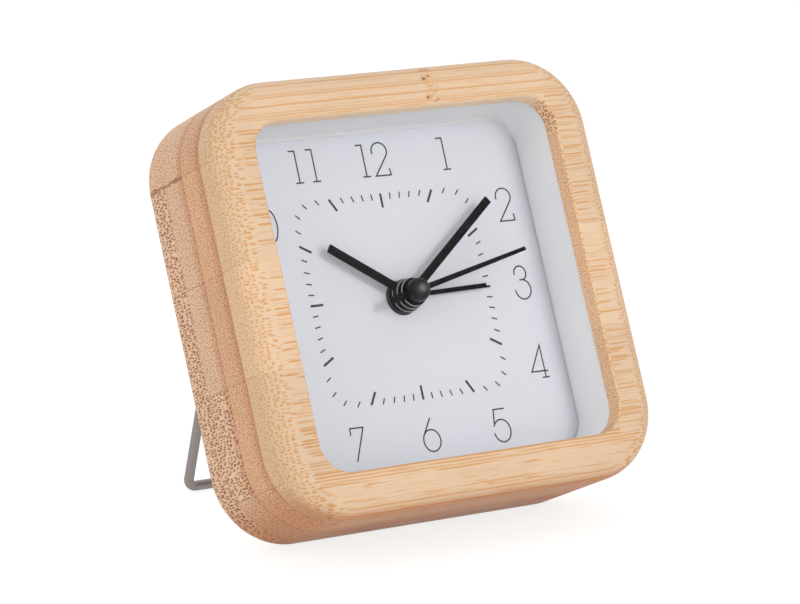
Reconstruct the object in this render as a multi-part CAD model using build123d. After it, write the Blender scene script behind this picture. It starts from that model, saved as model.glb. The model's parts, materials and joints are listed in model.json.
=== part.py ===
from build123d import *
import os
from math import asin, atan2, cos, degrees, hypot, radians, sin

# A square bamboo alarm clock that leans back on a folding wire stand.
# Every piece is drawn upright: X to the right, Y from the front face backwards, Z up the face,
# measured from the arbor of the hands. At the end all pieces are leaned back onto the stand.

# Bamboo case
CASE_WIDTH = 99.0
CASE_HEIGHT = 98.8
CASE_CORNER = 17.0
FRONT_ROUND = 5.0
REAR_ROUND = 2.5
RAIL_WIDTH = 9.9
OPENING_CORNER = 7.0
OPENING_ROUND = 0.5
LIP_DEPTH = 4.5
REBATE = 2.0
COVER_LEDGE = 4.0
DROP_IN = 0.3

# White inner bezel behind the lip, with the lens glued in its front and the dial at its back
LENS_THICKNESS = 1.0
LENS_GAP = 0.1
BEZEL_DEPTH = 13.1
BEZEL_LEDGE = 0.9
BEZEL_LEDGE_HEIGHT = 0.5
DIAL_THICKNESS = 0.8

# Hands, each given by its angle clockwise from twelve
HAND_LIFT = 1.2
HAND_STEP = 1.6
HAND_THICKNESS = 0.4
HUB_HEIGHT = 1.3
HUB_R = 3.9
HUB_R_STEP = 0.28
HUB_CHAMFER = 0.12
PRESS_GAP = 0.02
ALARM_HAND_SHORT = 10.0
ALARM_HAND_WIDTH = 1.05
ALARM_HAND_ANGLE = 89.6
HOUR_HAND_SHORT = 10.0
HOUR_HAND_WIDTH = 2.0
HOUR_HAND_ANGLE = 305.2
MINUTE_HAND_SHORT = 0.2
MINUTE_HAND_WIDTH = 1.9
MINUTE_HAND_ANGLE = 52.9
SECOND_TIP_GAP = 6.4
SECOND_HAND_ROOT = 1.38
SECOND_HAND_TIP = 0.9
SECOND_HAND_TAIL = 7.0
SECOND_TAIL_WIDTH = 1.8
SECOND_HAND_ANGLE = 78.0
CAP_R = 2.7
CAP_SEAT = 0.3
CAP_HEIGHT = 3.2
CAP_ROUND = 2.0
CAP_PIN_DEPTH = 0.8

# Concentric arbors under the hands
RUNNING = 0.08
SECOND_ARBOR_R = 0.5
PIPE_WALL = 0.55
BUSH_WALL = 1.43
BUSH_RISE = 0.8
DIAL_HOLE_GAP = 0.2

# Wheels and pinions: tooth counts, modules and tooth form
ALARM_TEETH = 48
ALARM_PINION_TEETH = 16
ALARM_MODULE = 0.34
CANNON_TEETH = 12
MINUTE_TEETH = 36
MINUTE_PINION_TEETH = 10
HOUR_TEETH = 40
MINUTE_MODULE = 0.25
TIME_PINION_TEETH = 18
CENTRE_TEETH = 64
THIRD_PINION_TEETH = 8
THIRD_TEETH = 60
SECOND_PINION_TEETH = 8
THIRD_MODULE = 0.27
SECOND_TEETH = 60
INTERMEDIATE_PINION_TEETH = 12
SECOND_MODULE = 0.255
INTERMEDIATE_TEETH = 48
ROTOR_PINION_TEETH = 8
ROTOR_MODULE = 0.22
ADDENDUM = 0.85
DEDENDUM = 1.15
TOOTH_ROOT_SHARE = 0.52
TOOTH_TIP_SHARE = 0.2
WHEEL_THICKNESS = 0.8
PLANE_GAP = 0.55
PINION_OVERHANG = 0.1
TRAIN_ARBOR_R = 0.4
PIVOT_INSET = 0.2
STUD_R = 0.5
SLEEVE_WALL = 0.3

# Directions of the wheels from the axes that they mesh with, as seen from the front
MINUTE_WHEEL_ANGLE = 150.0
TIME_SHAFT_ANGLE = 161.0
ALARM_SHAFT_ANGLE = 28.0
THIRD_ANGLE = 90.0
INTERMEDIATE_ANGLE = -28.0
ROTOR_ANGLE = 20.0

# Stepping motor and electronics
ROTOR_R = 2.2
ROTOR_LENGTH = 1.4
ROTOR_GAP = 0.4
STATOR_THICKNESS = 0.8
STATOR_RING = 1.9
CORE_WIDTH = 2.0
CORE_END = 3.0
COIL_REACH = 8.5
COIL_LENGTH = 14.0
COIL_R = 2.4
BOBBIN_WALL = 0.5
BOARD_END_GAP = 6.0
BOARD_THICKNESS = 1.0
BOARD_LIFT = 5.5
BOARD_SIDE_GAP = 1.0
BOARD_POST_GAP = 0.5
CHIP_R = 2.8
CHIP_HEIGHT = 0.9
CRYSTAL_R = 1.0
CRYSTAL_LENGTH = 6.2
CHIP_SPACING = 8.0

# Movement housing
SHELL_WALL = 1.0
MIDDLE_PLATE = 0.9
BACK_PLATE = 1.15
CHAMBER_HALF_WIDTH = 26.0
TRAIN_GAP = 0.7
POST_R = 1.5
PILLAR_SPOTS = ((13.0, 13.0), (-13.0, 13.0), (-13.0, -10.0), (12.5, -12.0))
PLATE_MARGIN = 2.5
SHELL_SCREW_R = 0.8
SHELL_SCREW_LENGTH = 5.0
SHELL_SCREW_HEAD_R = 1.4
SHELL_SCREW_HEAD = 0.6
SHELL_BOSS_R = 2.0
SHELL_BOSS_SINK = 0.5

# Battery, its bay and the door over it
CELL_D = 14.5
CELL_LENGTH = 50.5
CELL_EDGE = 0.5
CELL_NUB_R = 2.75
CELL_NUB = 1.0
BAY_MARGIN = 1.4
CELL_PLAY = 0.35
NEGATIVE_SPACE = 4.0
POSITIVE_SPACE = 1.5
CONTACT_THICKNESS = 0.35
CONTACT_WIDTH = 8.0
CONTACT_BOSS_R = 2.0
CONTACT_GAP = 0.05
DOOR_GAP = 0.25
DOOR_CROWN = 1.2
DOOR_LAP = 0.35
DOOR_SEAT_GAP = 0.1
DOOR_BARREL_R = 0.9
DOOR_BARREL_GAP = 0.15
DOOR_PIN_R = 0.5
DOOR_PIN_LENGTH = 1.4
DOOR_AXIS_RISE = 0.3
THUMB_NOTCH_R = 5.0
THUMB_NOTCH_DEPTH = 1.0

# Rear cover and what is set from behind
COVER_THICKNESS = 2.5
COVER_SCREW_R = 1.0
COVER_SCREW_LENGTH = 9.0
COVER_SCREW_HEAD_R = 1.7
COVER_SCREW_HEAD = 0.9
SHAFT_R = 1.0
SHAFT_HOLE_GAP = 0.5
KNOB_R = 4.5
KNOB_HEIGHT = 5.0
KNOB_LIFT = 0.5
KNOB_BORE_DEPTH = 3.0
KNOB_RIBS = 18
KNOB_RIB_R = 0.35
KNOB_ROUND = 0.5
SWITCH_X = -18.0
SWITCH_TRAVEL = 3.0
SWITCH_STEM_LENGTH = 3.0
SWITCH_STEM_HEIGHT = 2.4
SWITCH_PLAY = 0.2
SWITCH_FLANGE = 0.8
SWITCH_FLANGE_LAP = 1.5
SWITCH_THUMB = 2.0
SWITCH_BODY_WALL = 1.0
BUZZER_X = 18.0
BUZZER_R = 6.0
BUZZER_HEIGHT = 4.0
BUZZER_EDGE = 0.6
SOUND_SLOTS = 5
SOUND_SLOT_WIDTH = 1.0
SOUND_SLOT_PITCH = 2.0
SOUND_SLOT_MARGIN = 1.5

# Wire stand and its hinge lugs
WIRE_R = 1.15
WIRE_BEND_R = 2.2
STAND_HALF_WIDTH = 31.4
STAND_LEG = 61.6
STAND_ANGLE = 41.1
HINGE_Z = 18.8
HINGE_LIFT = 1.5
STAND_PIN = 5.2
STOP_GAP = 0.12
LUG_SLOT_PLAY = 0.3
LUG_CHEEK = 1.6
LUG_DEPTH = 6.0
LUG_BELOW = 5.0
LUG_ABOVE = 5.0
LUG_SLOPE = 1.5
LUG_ROUND = 1.0

# Depths behind the front face, worked out from the stack
LENS_FRONT = LIP_DEPTH
LENS_BACK = LENS_FRONT + LENS_THICKNESS
DIAL_FRONT = LIP_DEPTH + BEZEL_DEPTH
DIAL_BACK = DIAL_FRONT + DIAL_THICKNESS
FLOOR = DIAL_BACK + SHELL_WALL
PLANE_PITCH = WHEEL_THICKNESS + PLANE_GAP
ALARM_PLANE = FLOOR + PLANE_GAP
HOUR_PLANE = ALARM_PLANE + PLANE_PITCH
MINUTE_PLANE = HOUR_PLANE + PLANE_PITCH
MIDDLE_FRONT = MINUTE_PLANE + PLANE_PITCH
MIDDLE_BACK = MIDDLE_FRONT + MIDDLE_PLATE
CENTRE_PLANE = MIDDLE_BACK + PLANE_GAP
INTERMEDIATE_PLANE = CENTRE_PLANE + PLANE_PITCH
THIRD_PLANE = INTERMEDIATE_PLANE + PLANE_PITCH
SECOND_PLANE = THIRD_PLANE + PLANE_PITCH
BACK_FRONT = SECOND_PLANE + PLANE_PITCH
COVER_FRONT = BACK_FRONT + BACK_PLATE
CASE_DEPTH = COVER_FRONT + COVER_THICKNESS
PIVOT_BACK = COVER_FRONT - PIVOT_INSET

# Front-view sizes worked out from the case
OPENING_WIDTH = CASE_WIDTH - 2 * RAIL_WIDTH
OPENING_HEIGHT = CASE_HEIGHT - 2 * RAIL_WIDTH
CAVITY_WIDTH = OPENING_WIDTH + 2 * REBATE
CAVITY_HEIGHT = OPENING_HEIGHT + 2 * REBATE
CAVITY_CORNER = OPENING_CORNER + REBATE
RECESS_WIDTH = CAVITY_WIDTH + 2 * COVER_LEDGE
RECESS_HEIGHT = CAVITY_HEIGHT + 2 * COVER_LEDGE
RECESS_CORNER = CAVITY_CORNER + COVER_LEDGE
LEDGE_REACH = (CAVITY_CORNER + COVER_LEDGE / 2) * cos(radians(45))
SCREW_X = CAVITY_WIDTH / 2 - CAVITY_CORNER + LEDGE_REACH
SCREW_Z = CAVITY_HEIGHT / 2 - CAVITY_CORNER + LEDGE_REACH
CORNER_SPOTS = [(x * SCREW_X, z * SCREW_Z) for x in (-1, 1) for z in (-1, 1)]

# Hands: the second hand stops short of the bezel, the others short of each other
SECOND_HAND_LENGTH = min(OPENING_WIDTH, OPENING_HEIGHT) / 2 - BEZEL_LEDGE - SECOND_TIP_GAP
MINUTE_HAND_LENGTH = SECOND_HAND_LENGTH - MINUTE_HAND_SHORT
HOUR_HAND_LENGTH = MINUTE_HAND_LENGTH - HOUR_HAND_SHORT
ALARM_HAND_LENGTH = MINUTE_HAND_LENGTH - ALARM_HAND_SHORT

# Radii of the pipes, from the second hand's arbor outwards
MINUTE_PIPE_IN = SECOND_ARBOR_R + RUNNING
MINUTE_PIPE_R = MINUTE_PIPE_IN + PIPE_WALL
HOUR_PIPE_IN = MINUTE_PIPE_R + RUNNING
HOUR_PIPE_R = HOUR_PIPE_IN + PIPE_WALL
ALARM_PIPE_IN = HOUR_PIPE_R + RUNNING
ALARM_PIPE_R = ALARM_PIPE_IN + PIPE_WALL
BUSH_IN = ALARM_PIPE_R + RUNNING
BUSH_R = BUSH_IN + BUSH_WALL

# Back faces of the four hands, from the dial forwards
ALARM_LEVEL = DIAL_FRONT - HAND_LIFT
HOUR_LEVEL = ALARM_LEVEL - HAND_STEP
MINUTE_LEVEL = HOUR_LEVEL - HAND_STEP
SECOND_LEVEL = MINUTE_LEVEL - HAND_STEP

# Modules of the two gear pairs that share another pair's centre distance
HOUR_MODULE = MINUTE_MODULE * (CANNON_TEETH + MINUTE_TEETH) / (MINUTE_PINION_TEETH + HOUR_TEETH)
CENTRE_MODULE = THIRD_MODULE * (THIRD_TEETH + SECOND_PINION_TEETH) / (CENTRE_TEETH + THIRD_PINION_TEETH)


def polar(start, distance, angle):
    """Point at a distance and direction from another, in the front view."""
    return (start[0] + distance * cos(radians(angle)), start[1] + distance * sin(radians(angle)))


def centre_distance(module, teeth_a, teeth_b):
    """Distance between the axes of two meshing gears."""
    return module * (teeth_a + teeth_b) / 2


def tip_radius(teeth, module):
    """Outer radius of a gear."""
    return module * (teeth / 2 + ADDENDUM)


def mesh_phase(teeth_a, phase_a, teeth_b, angle):
    """Tooth angle of gear b that sets its gaps over the teeth of gear a; the angle runs from a to b."""
    return angle + 180 - teeth_a / teeth_b * (phase_a - angle) + 180 / teeth_b


# Axes of the wheels in the front view
CENTRE = (0.0, 0.0)
MINUTE_AXIS = polar(CENTRE, centre_distance(MINUTE_MODULE, CANNON_TEETH, MINUTE_TEETH), MINUTE_WHEEL_ANGLE)
TIME_AXIS = polar(
    MINUTE_AXIS, centre_distance(MINUTE_MODULE, MINUTE_TEETH, TIME_PINION_TEETH), TIME_SHAFT_ANGLE
)
ALARM_AXIS = polar(CENTRE, centre_distance(ALARM_MODULE, ALARM_TEETH, ALARM_PINION_TEETH), ALARM_SHAFT_ANGLE)
THIRD_AXIS = polar(CENTRE, centre_distance(THIRD_MODULE, SECOND_PINION_TEETH, THIRD_TEETH), THIRD_ANGLE)
INTERMEDIATE_AXIS = polar(
    CENTRE, centre_distance(SECOND_MODULE, SECOND_TEETH, INTERMEDIATE_PINION_TEETH), INTERMEDIATE_ANGLE
)
ROTOR_AXIS = polar(
    INTERMEDIATE_AXIS, centre_distance(ROTOR_MODULE, INTERMEDIATE_TEETH, ROTOR_PINION_TEETH), ROTOR_ANGLE
)
COIL_X = ROTOR_AXIS[0] + COIL_REACH

# Battery bay at the bottom of the cavity, and the chamber of the wheels above it
CELL_R = CELL_D / 2
BAY_HALF_HEIGHT = CELL_R + CELL_PLAY
BAY_HALF_LENGTH = (CELL_LENGTH + NEGATIVE_SPACE + POSITIVE_SPACE) / 2
BAY_BOTTOM = BAY_MARGIN + SHELL_WALL - CAVITY_HEIGHT / 2
BAY_Z = BAY_BOTTOM + BAY_HALF_HEIGHT
BAY_TOP = BAY_Z + BAY_HALF_HEIGHT
CELL_Y = FLOOR + CELL_PLAY + CELL_R
CELL_NEGATIVE_X = -BAY_HALF_LENGTH + NEGATIVE_SPACE
CELL_POSITIVE_X = BAY_HALF_LENGTH - POSITIVE_SPACE
CONTACT_HALF_DEPTH = COVER_FRONT - CONTACT_GAP - CELL_Y
SHELL_HALF_WIDTH = CHAMBER_HALF_WIDTH + SHELL_WALL
CHAMBER_BOTTOM = BAY_TOP + SHELL_WALL
CHAMBER_TOP = THIRD_AXIS[1] + tip_radius(THIRD_TEETH, THIRD_MODULE) + TRAIN_GAP
MOVEMENT_TOP = CHAMBER_TOP + SHELL_WALL
SHELL_BOSS_INSET = SHELL_BOSS_R - SHELL_BOSS_SINK
SHELL_SCREW_X = CHAMBER_HALF_WIDTH - SHELL_BOSS_INSET
SHELL_SPOTS = [
    (x * SHELL_SCREW_X, z)
    for x in (-1, 1)
    for z in (CHAMBER_BOTTOM + SHELL_BOSS_INSET, CHAMBER_TOP - SHELL_BOSS_INSET)
]

# Alarm switch and buzzer, side by side between the movement and the top of the cavity
SWITCH_Z = (MOVEMENT_TOP + CAVITY_HEIGHT / 2) / 2
BUZZER_Z = SWITCH_Z

# Battery door, hinged at its upper edge on two stub pins
DOOR_AXIS_Y = CASE_DEPTH - DOOR_BARREL_R
DOOR_AXIS_Z = BAY_TOP + DOOR_AXIS_RISE
DOOR_HALF_LENGTH = BAY_HALF_LENGTH - DOOR_GAP
DOOR_BOTTOM = BAY_BOTTOM - DOOR_LAP

# Wire stand: the hinge, the foot and the lean that they give the clock
HINGE_Y = CASE_DEPTH + HINGE_LIFT
FOOT_Y = HINGE_Y + STAND_LEG * sin(radians(STAND_ANGLE))
FOOT_Z = HINGE_Z - STAND_LEG * cos(radians(STAND_ANGLE))
EDGE_Y = CASE_DEPTH - REAR_ROUND
EDGE_Z = REAR_ROUND - CASE_HEIGHT / 2
FOOT_SPAN = hypot(FOOT_Y - EDGE_Y, FOOT_Z - EDGE_Z)
LEAN = degrees(atan2(FOOT_Z - EDGE_Z, FOOT_Y - EDGE_Y) + asin((REAR_ROUND - WIRE_R) / FOOT_SPAN))


def face_plane(depth):
    """Plane across the clock at a depth, drawn as seen from the front."""
    return Plane(origin=(0, depth, 0), x_dir=(1, 0, 0), z_dir=(0, -1, 0))


def slab(outline, front, back):
    """Solid of a front-view outline between two depths."""
    return extrude(face_plane(back) * outline, amount=back - front)


def bar(outline, left, right):
    """Solid of a side-view outline, drawn as (depth, height), between two X places."""
    side = Plane(origin=(left, 0, 0), x_dir=(0, 1, 0), z_dir=(1, 0, 0))
    return extrude(side * outline, amount=right - left)


def column(outline, bottom, top):
    """Solid of a plan-view outline, drawn as (x, depth), between two heights."""
    return Pos(0, 0, bottom) * extrude(outline, amount=top - bottom, dir=(0, 0, 1))


def disc(spot, radius, front, back):
    """Round solid about an axis of the front view."""
    return slab(Pos(*spot) * Circle(radius), front, back)


def panel(left, right, bottom, top, front, back):
    """Rectangular solid given by its edges in the front view and two depths."""
    outline = Pos((left + right) / 2, (bottom + top) / 2) * Rectangle(right - left, top - bottom)
    return slab(outline, front, back)


def gear(teeth, module, spot, phase, front, back):
    """Toothed disc with thin, straight-sided teeth, one of them at the phase angle."""
    tip_r = tip_radius(teeth, module)
    root_r = tip_r - (ADDENDUM + DEDENDUM) * module
    root_half = TOOTH_ROOT_SHARE * 180 / teeth
    tip_half = TOOTH_TIP_SHARE * 180 / teeth
    corners = ((root_r, -root_half), (tip_r, -tip_half), (tip_r, tip_half), (root_r, root_half))
    points = []
    for tooth in range(teeth):
        middle = phase + 360 * tooth / teeth
        points += [polar(spot, radius, middle + turn) for radius, turn in corners]
    return slab(Polygon(*points, align=None), front, back)


def wheel(teeth, module, spot, phase, plane):
    """Gear one wheel thick in its plane."""
    return gear(teeth, module, spot, phase, plane, plane + WHEEL_THICKNESS)


def pinion(teeth, module, spot, phase, plane):
    """Gear a little thicker than the wheel that it drives."""
    back = plane + WHEEL_THICKNESS + PINION_OVERHANG
    return gear(teeth, module, spot, phase, plane - PINION_OVERHANG, back)


def opening(inset=0.0):
    """Outline of the case's front opening, or one set in from it."""
    return RectangleRounded(OPENING_WIDTH - 2 * inset, OPENING_HEIGHT - 2 * inset, OPENING_CORNER - inset)


def bamboo_case():
    """Hollowed block with rounded edges, a front lip and a stepped recess at the back."""
    block = slab(RectangleRounded(CASE_WIDTH, CASE_HEIGHT, CASE_CORNER), 0, CASE_DEPTH)
    block = fillet(block.faces().sort_by(Axis.Y)[0].edges(), FRONT_ROUND)
    block = fillet(block.faces().sort_by(Axis.Y)[-1].edges(), REAR_ROUND)
    block -= slab(opening(), 0, CASE_DEPTH)
    rim = block.faces().sort_by(Axis.Y)[0].inner_wires()[0]
    block = fillet(rim.edges(), OPENING_ROUND)
    block -= slab(RectangleRounded(CAVITY_WIDTH, CAVITY_HEIGHT, CAVITY_CORNER), LIP_DEPTH, CASE_DEPTH)
    block -= slab(RectangleRounded(RECESS_WIDTH, RECESS_HEIGHT, RECESS_CORNER), COVER_FRONT, CASE_DEPTH)
    hole_front = CASE_DEPTH - COVER_SCREW_LENGTH - PRESS_GAP
    return block - [disc(spot, COVER_SCREW_R + PRESS_GAP, hole_front, CASE_DEPTH) for spot in CORNER_SPOTS]


def cavity_plate():
    """Outline that drops into the case's cavity."""
    return RectangleRounded(CAVITY_WIDTH - 2 * DROP_IN, CAVITY_HEIGHT - 2 * DROP_IN, CAVITY_CORNER - DROP_IN)


def lens():
    """Clear plate in the front of the white ring."""
    return slab(opening(LENS_GAP), LENS_FRONT, LENS_BACK)


def inner_bezel():
    """White ring between the lip and the dial, with a low ledge along the dial's top."""
    ledge = DIAL_FRONT - BEZEL_LEDGE_HEIGHT
    below_ledge = RectangleRounded(OPENING_WIDTH, OPENING_HEIGHT - BEZEL_LEDGE, OPENING_CORNER)
    ring = slab(cavity_plate(), LIP_DEPTH, DIAL_FRONT)
    ring -= slab(opening(), LIP_DEPTH, ledge)
    return ring - slab(Pos(0, -BEZEL_LEDGE / 2) * below_ledge, ledge, DIAL_FRONT)


def dial():
    """Thin white plate with a hole for the bush."""
    hole = disc(CENTRE, BUSH_R + DIAL_HOLE_GAP, DIAL_FRONT, DIAL_BACK)
    return slab(cavity_plate(), DIAL_FRONT, DIAL_BACK) - hole


def blade(root, tip, length):
    """Straight-sided blade that points to twelve."""
    return Polygon((-root / 2, 0), (root / 2, 0), (tip / 2, length), (-tip / 2, length), align=None)


def hand(width, length, hub_r, pipe_r, level, angle):
    """Flat blade on a round hub that is pressed onto its pipe."""
    front = level - HUB_HEIGHT
    hub = disc(CENTRE, hub_r, front, level)
    hub = chamfer(hub.faces().sort_by(Axis.Y)[0].edges(), HUB_CHAMFER)
    piece = hub + slab(blade(width, width, length), level - HAND_THICKNESS, level)
    return Rot(Y=angle) * (piece - disc(CENTRE, pipe_r + PRESS_GAP, front, level))


def alarm_hand():
    """Lowest hand, with the widest hub."""
    return hand(ALARM_HAND_WIDTH, ALARM_HAND_LENGTH, HUB_R, ALARM_PIPE_R, ALARM_LEVEL, ALARM_HAND_ANGLE)


def hour_hand():
    """Short wide hand over the alarm hand."""
    hub_r = HUB_R - HUB_R_STEP
    return hand(HOUR_HAND_WIDTH, HOUR_HAND_LENGTH, hub_r, HOUR_PIPE_R, HOUR_LEVEL, HOUR_HAND_ANGLE)


def minute_hand():
    """Long hand over the hour hand."""
    hub_r = HUB_R - 2 * HUB_R_STEP
    return hand(MINUTE_HAND_WIDTH, MINUTE_HAND_LENGTH, hub_r, MINUTE_PIPE_R, MINUTE_LEVEL, MINUTE_HAND_ANGLE)


def second_hand():
    """Thin tapered blade with a short round-ended tail and a round seat for the cap."""
    tail = SlotCenterToCenter(SECOND_HAND_TAIL - SECOND_TAIL_WIDTH / 2, SECOND_TAIL_WIDTH, rotation=90)
    tail_centre = (SECOND_TAIL_WIDTH / 2 - SECOND_HAND_TAIL) / 2
    outline = blade(SECOND_HAND_ROOT, SECOND_HAND_TIP, SECOND_HAND_LENGTH) + Pos(0, tail_centre) * tail
    outline += Circle(CAP_R + CAP_SEAT)
    piece = slab(outline, SECOND_LEVEL - HAND_THICKNESS, SECOND_LEVEL)
    piece -= disc(CENTRE, SECOND_ARBOR_R + PRESS_GAP, SECOND_LEVEL - HAND_THICKNESS, SECOND_LEVEL)
    return Rot(Y=SECOND_HAND_ANGLE) * piece


def hand_cap():
    """Domed cap pressed on the end of the second hand's arbor."""
    back = SECOND_LEVEL - HAND_THICKNESS
    cap = disc(CENTRE, CAP_R, back - CAP_HEIGHT, back)
    cap = fillet(cap.faces().sort_by(Axis.Y)[0].edges(), CAP_ROUND)
    return cap - disc(CENTRE, SECOND_ARBOR_R + PRESS_GAP, back - CAP_PIN_DEPTH - PRESS_GAP, back)


def pipe_wheel(toothed, pipe_in, pipe_r, front):
    """Toothed piece on the centre axis with the pipe that carries its hand."""
    back = toothed.bounding_box().max.Y
    return toothed + disc(CENTRE, pipe_r, front, back) - disc(CENTRE, pipe_in, front, back)


def alarm_wheel():
    """Alarm wheel and the outermost pipe."""
    toothed = wheel(ALARM_TEETH, ALARM_MODULE, CENTRE, 0, ALARM_PLANE)
    return pipe_wheel(toothed, ALARM_PIPE_IN, ALARM_PIPE_R, ALARM_LEVEL - HUB_HEIGHT)


def hour_wheel():
    """Hour wheel and the pipe of the hour hand."""
    toothed = wheel(HOUR_TEETH, HOUR_MODULE, CENTRE, 0, HOUR_PLANE)
    return pipe_wheel(toothed, HOUR_PIPE_IN, HOUR_PIPE_R, HOUR_LEVEL - HUB_HEIGHT)


def cannon_pinion():
    """Pinion and pipe of the minute hand, whose tail turns in the middle plate."""
    toothed = pinion(CANNON_TEETH, MINUTE_MODULE, CENTRE, 0, MINUTE_PLANE)
    toothed += disc(CENTRE, MINUTE_PIPE_R, MINUTE_PLANE, CENTRE_PLANE + WHEEL_THICKNESS)
    return pipe_wheel(toothed, MINUTE_PIPE_IN, MINUTE_PIPE_R, MINUTE_LEVEL - HUB_HEIGHT)


MINUTE_PHASE = mesh_phase(CANNON_TEETH, 0, MINUTE_TEETH, MINUTE_WHEEL_ANGLE)


def minute_wheel():
    """Motion-work wheel and pinion on a stud of the middle plate."""
    pinion_phase = mesh_phase(HOUR_TEETH, 0, MINUTE_PINION_TEETH, MINUTE_WHEEL_ANGLE)
    piece = wheel(MINUTE_TEETH, MINUTE_MODULE, MINUTE_AXIS, MINUTE_PHASE, MINUTE_PLANE)
    small = pinion(MINUTE_PINION_TEETH, HOUR_MODULE, MINUTE_AXIS, pinion_phase, HOUR_PLANE)
    bore_r = STUD_R + RUNNING
    sleeve = disc(MINUTE_AXIS, bore_r + SLEEVE_WALL, HOUR_PLANE, MINUTE_PLANE + WHEEL_THICKNESS)
    return piece + [small, sleeve] - disc(MINUTE_AXIS, bore_r, ALARM_PLANE, MIDDLE_FRONT)


def centre_wheel():
    """Wheel that grips the cannon pinion's tail and slips on it while the hands are set."""
    bore = disc(CENTRE, MINUTE_PIPE_R + RUNNING, CENTRE_PLANE, CENTRE_PLANE + WHEEL_THICKNESS)
    return wheel(CENTRE_TEETH, CENTRE_MODULE, CENTRE, 0, CENTRE_PLANE) - bore


def third_wheel():
    """Wheel driven by the second hand's pinion, with the pinion that drives the centre wheel."""
    wheel_phase = mesh_phase(SECOND_PINION_TEETH, 0, THIRD_TEETH, THIRD_ANGLE)
    pinion_phase = mesh_phase(CENTRE_TEETH, 0, THIRD_PINION_TEETH, THIRD_ANGLE)
    arbor = disc(THIRD_AXIS, TRAIN_ARBOR_R, MIDDLE_FRONT, PIVOT_BACK)
    large = wheel(THIRD_TEETH, THIRD_MODULE, THIRD_AXIS, wheel_phase, THIRD_PLANE)
    return arbor + [large, pinion(THIRD_PINION_TEETH, CENTRE_MODULE, THIRD_AXIS, pinion_phase, CENTRE_PLANE)]


def seconds_wheel():
    """Wheel and pinion on the long arbor that carries the second hand."""
    front = SECOND_LEVEL - HAND_THICKNESS - CAP_PIN_DEPTH
    arbor = disc(CENTRE, SECOND_ARBOR_R, front, PIVOT_BACK)
    large = wheel(SECOND_TEETH, SECOND_MODULE, CENTRE, 0, SECOND_PLANE)
    return arbor + [large, pinion(SECOND_PINION_TEETH, THIRD_MODULE, CENTRE, 0, THIRD_PLANE)]


INTERMEDIATE_PHASE = ROTOR_ANGLE


def intermediate_wheel():
    """Wheel driven by the rotor, with the pinion that drives the seconds wheel."""
    phase = mesh_phase(SECOND_TEETH, 0, INTERMEDIATE_PINION_TEETH, INTERMEDIATE_ANGLE)
    arbor = disc(INTERMEDIATE_AXIS, TRAIN_ARBOR_R, MIDDLE_FRONT, PIVOT_BACK)
    large = wheel(
        INTERMEDIATE_TEETH, ROTOR_MODULE, INTERMEDIATE_AXIS, INTERMEDIATE_PHASE, INTERMEDIATE_PLANE
    )
    small = pinion(INTERMEDIATE_PINION_TEETH, SECOND_MODULE, INTERMEDIATE_AXIS, phase, SECOND_PLANE)
    return arbor + [large, small]


def rotor():
    """Round magnet on an arbor with its pinion."""
    phase = mesh_phase(INTERMEDIATE_TEETH, INTERMEDIATE_PHASE, ROTOR_PINION_TEETH, ROTOR_ANGLE)
    arbor = disc(ROTOR_AXIS, TRAIN_ARBOR_R, MIDDLE_FRONT, PIVOT_BACK)
    small = pinion(ROTOR_PINION_TEETH, ROTOR_MODULE, ROTOR_AXIS, phase, INTERMEDIATE_PLANE)
    return arbor + [small, disc(ROTOR_AXIS, ROTOR_R, THIRD_PLANE, THIRD_PLANE + ROTOR_LENGTH)]


COIL_HALF = COIL_LENGTH / 2
CORE_HALF = COIL_HALF + CORE_END
CORE_BACK = THIRD_PLANE
CORE_FRONT = CORE_BACK - STATOR_THICKNESS
CORE_Y = (CORE_FRONT + CORE_BACK) / 2


def stator():
    """Soft-iron plate with an eye round the rotor and two feet on the coil's core."""
    x, z = ROTOR_AXIS
    eye_r = ROTOR_R + ROTOR_GAP
    ring_r = eye_r + STATOR_RING
    foot_near = COIL_X - COIL_R - STATOR_RING
    foot_far = COIL_X + CORE_WIDTH / 2
    shoulders = Polygon(
        (x, z - ring_r),
        (foot_near, z - CORE_HALF),
        (foot_far, z - CORE_HALF),
        (foot_far, z + CORE_HALF),
        (foot_near, z + CORE_HALF),
        (x, z + ring_r),
        align=None,
    )
    window_near = foot_near + STATOR_RING / 2
    window_middle = Pos((window_near + foot_far) / 2, z)
    window = window_middle * Rectangle(foot_far - window_near, COIL_LENGTH + 2 * PLANE_GAP)
    outline = shoulders + Pos(x, z) * Circle(ring_r) - window - Pos(x, z) * Circle(eye_r)
    return slab(outline, THIRD_PLANE, THIRD_PLANE + STATOR_THICKNESS)


def coil_column(outline, half):
    """Solid of a coil piece's plan view, centred on the coil and a half-length up and down."""
    return column(Pos(COIL_X, CORE_Y) * outline, ROTOR_AXIS[1] - half, ROTOR_AXIS[1] + half)


def core_outline(margin=0.0):
    """Plan view of the core, enlarged by a margin all round."""
    return Rectangle(CORE_WIDTH + 2 * margin, STATOR_THICKNESS + 2 * margin)


def coil_core():
    """Iron bar through the coil, in front of the stator's feet."""
    return coil_column(core_outline(), CORE_HALF)


def coil_bobbin():
    """Flanged spool on the core."""
    inside = COIL_HALF - BOBBIN_WALL
    flanges = coil_column(Circle(COIL_R), COIL_HALF) - coil_column(Circle(COIL_R), inside)
    tube = coil_column(core_outline(BOBBIN_WALL), COIL_HALF)
    return flanges + tube - coil_column(core_outline(PRESS_GAP), COIL_HALF)


def coil_winding():
    """Fine copper winding, as one round body between the flanges."""
    section = Circle(COIL_R - BOBBIN_WALL / 2) - core_outline(BOBBIN_WALL)
    return coil_column(section, COIL_HALF - BOBBIN_WALL)


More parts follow.
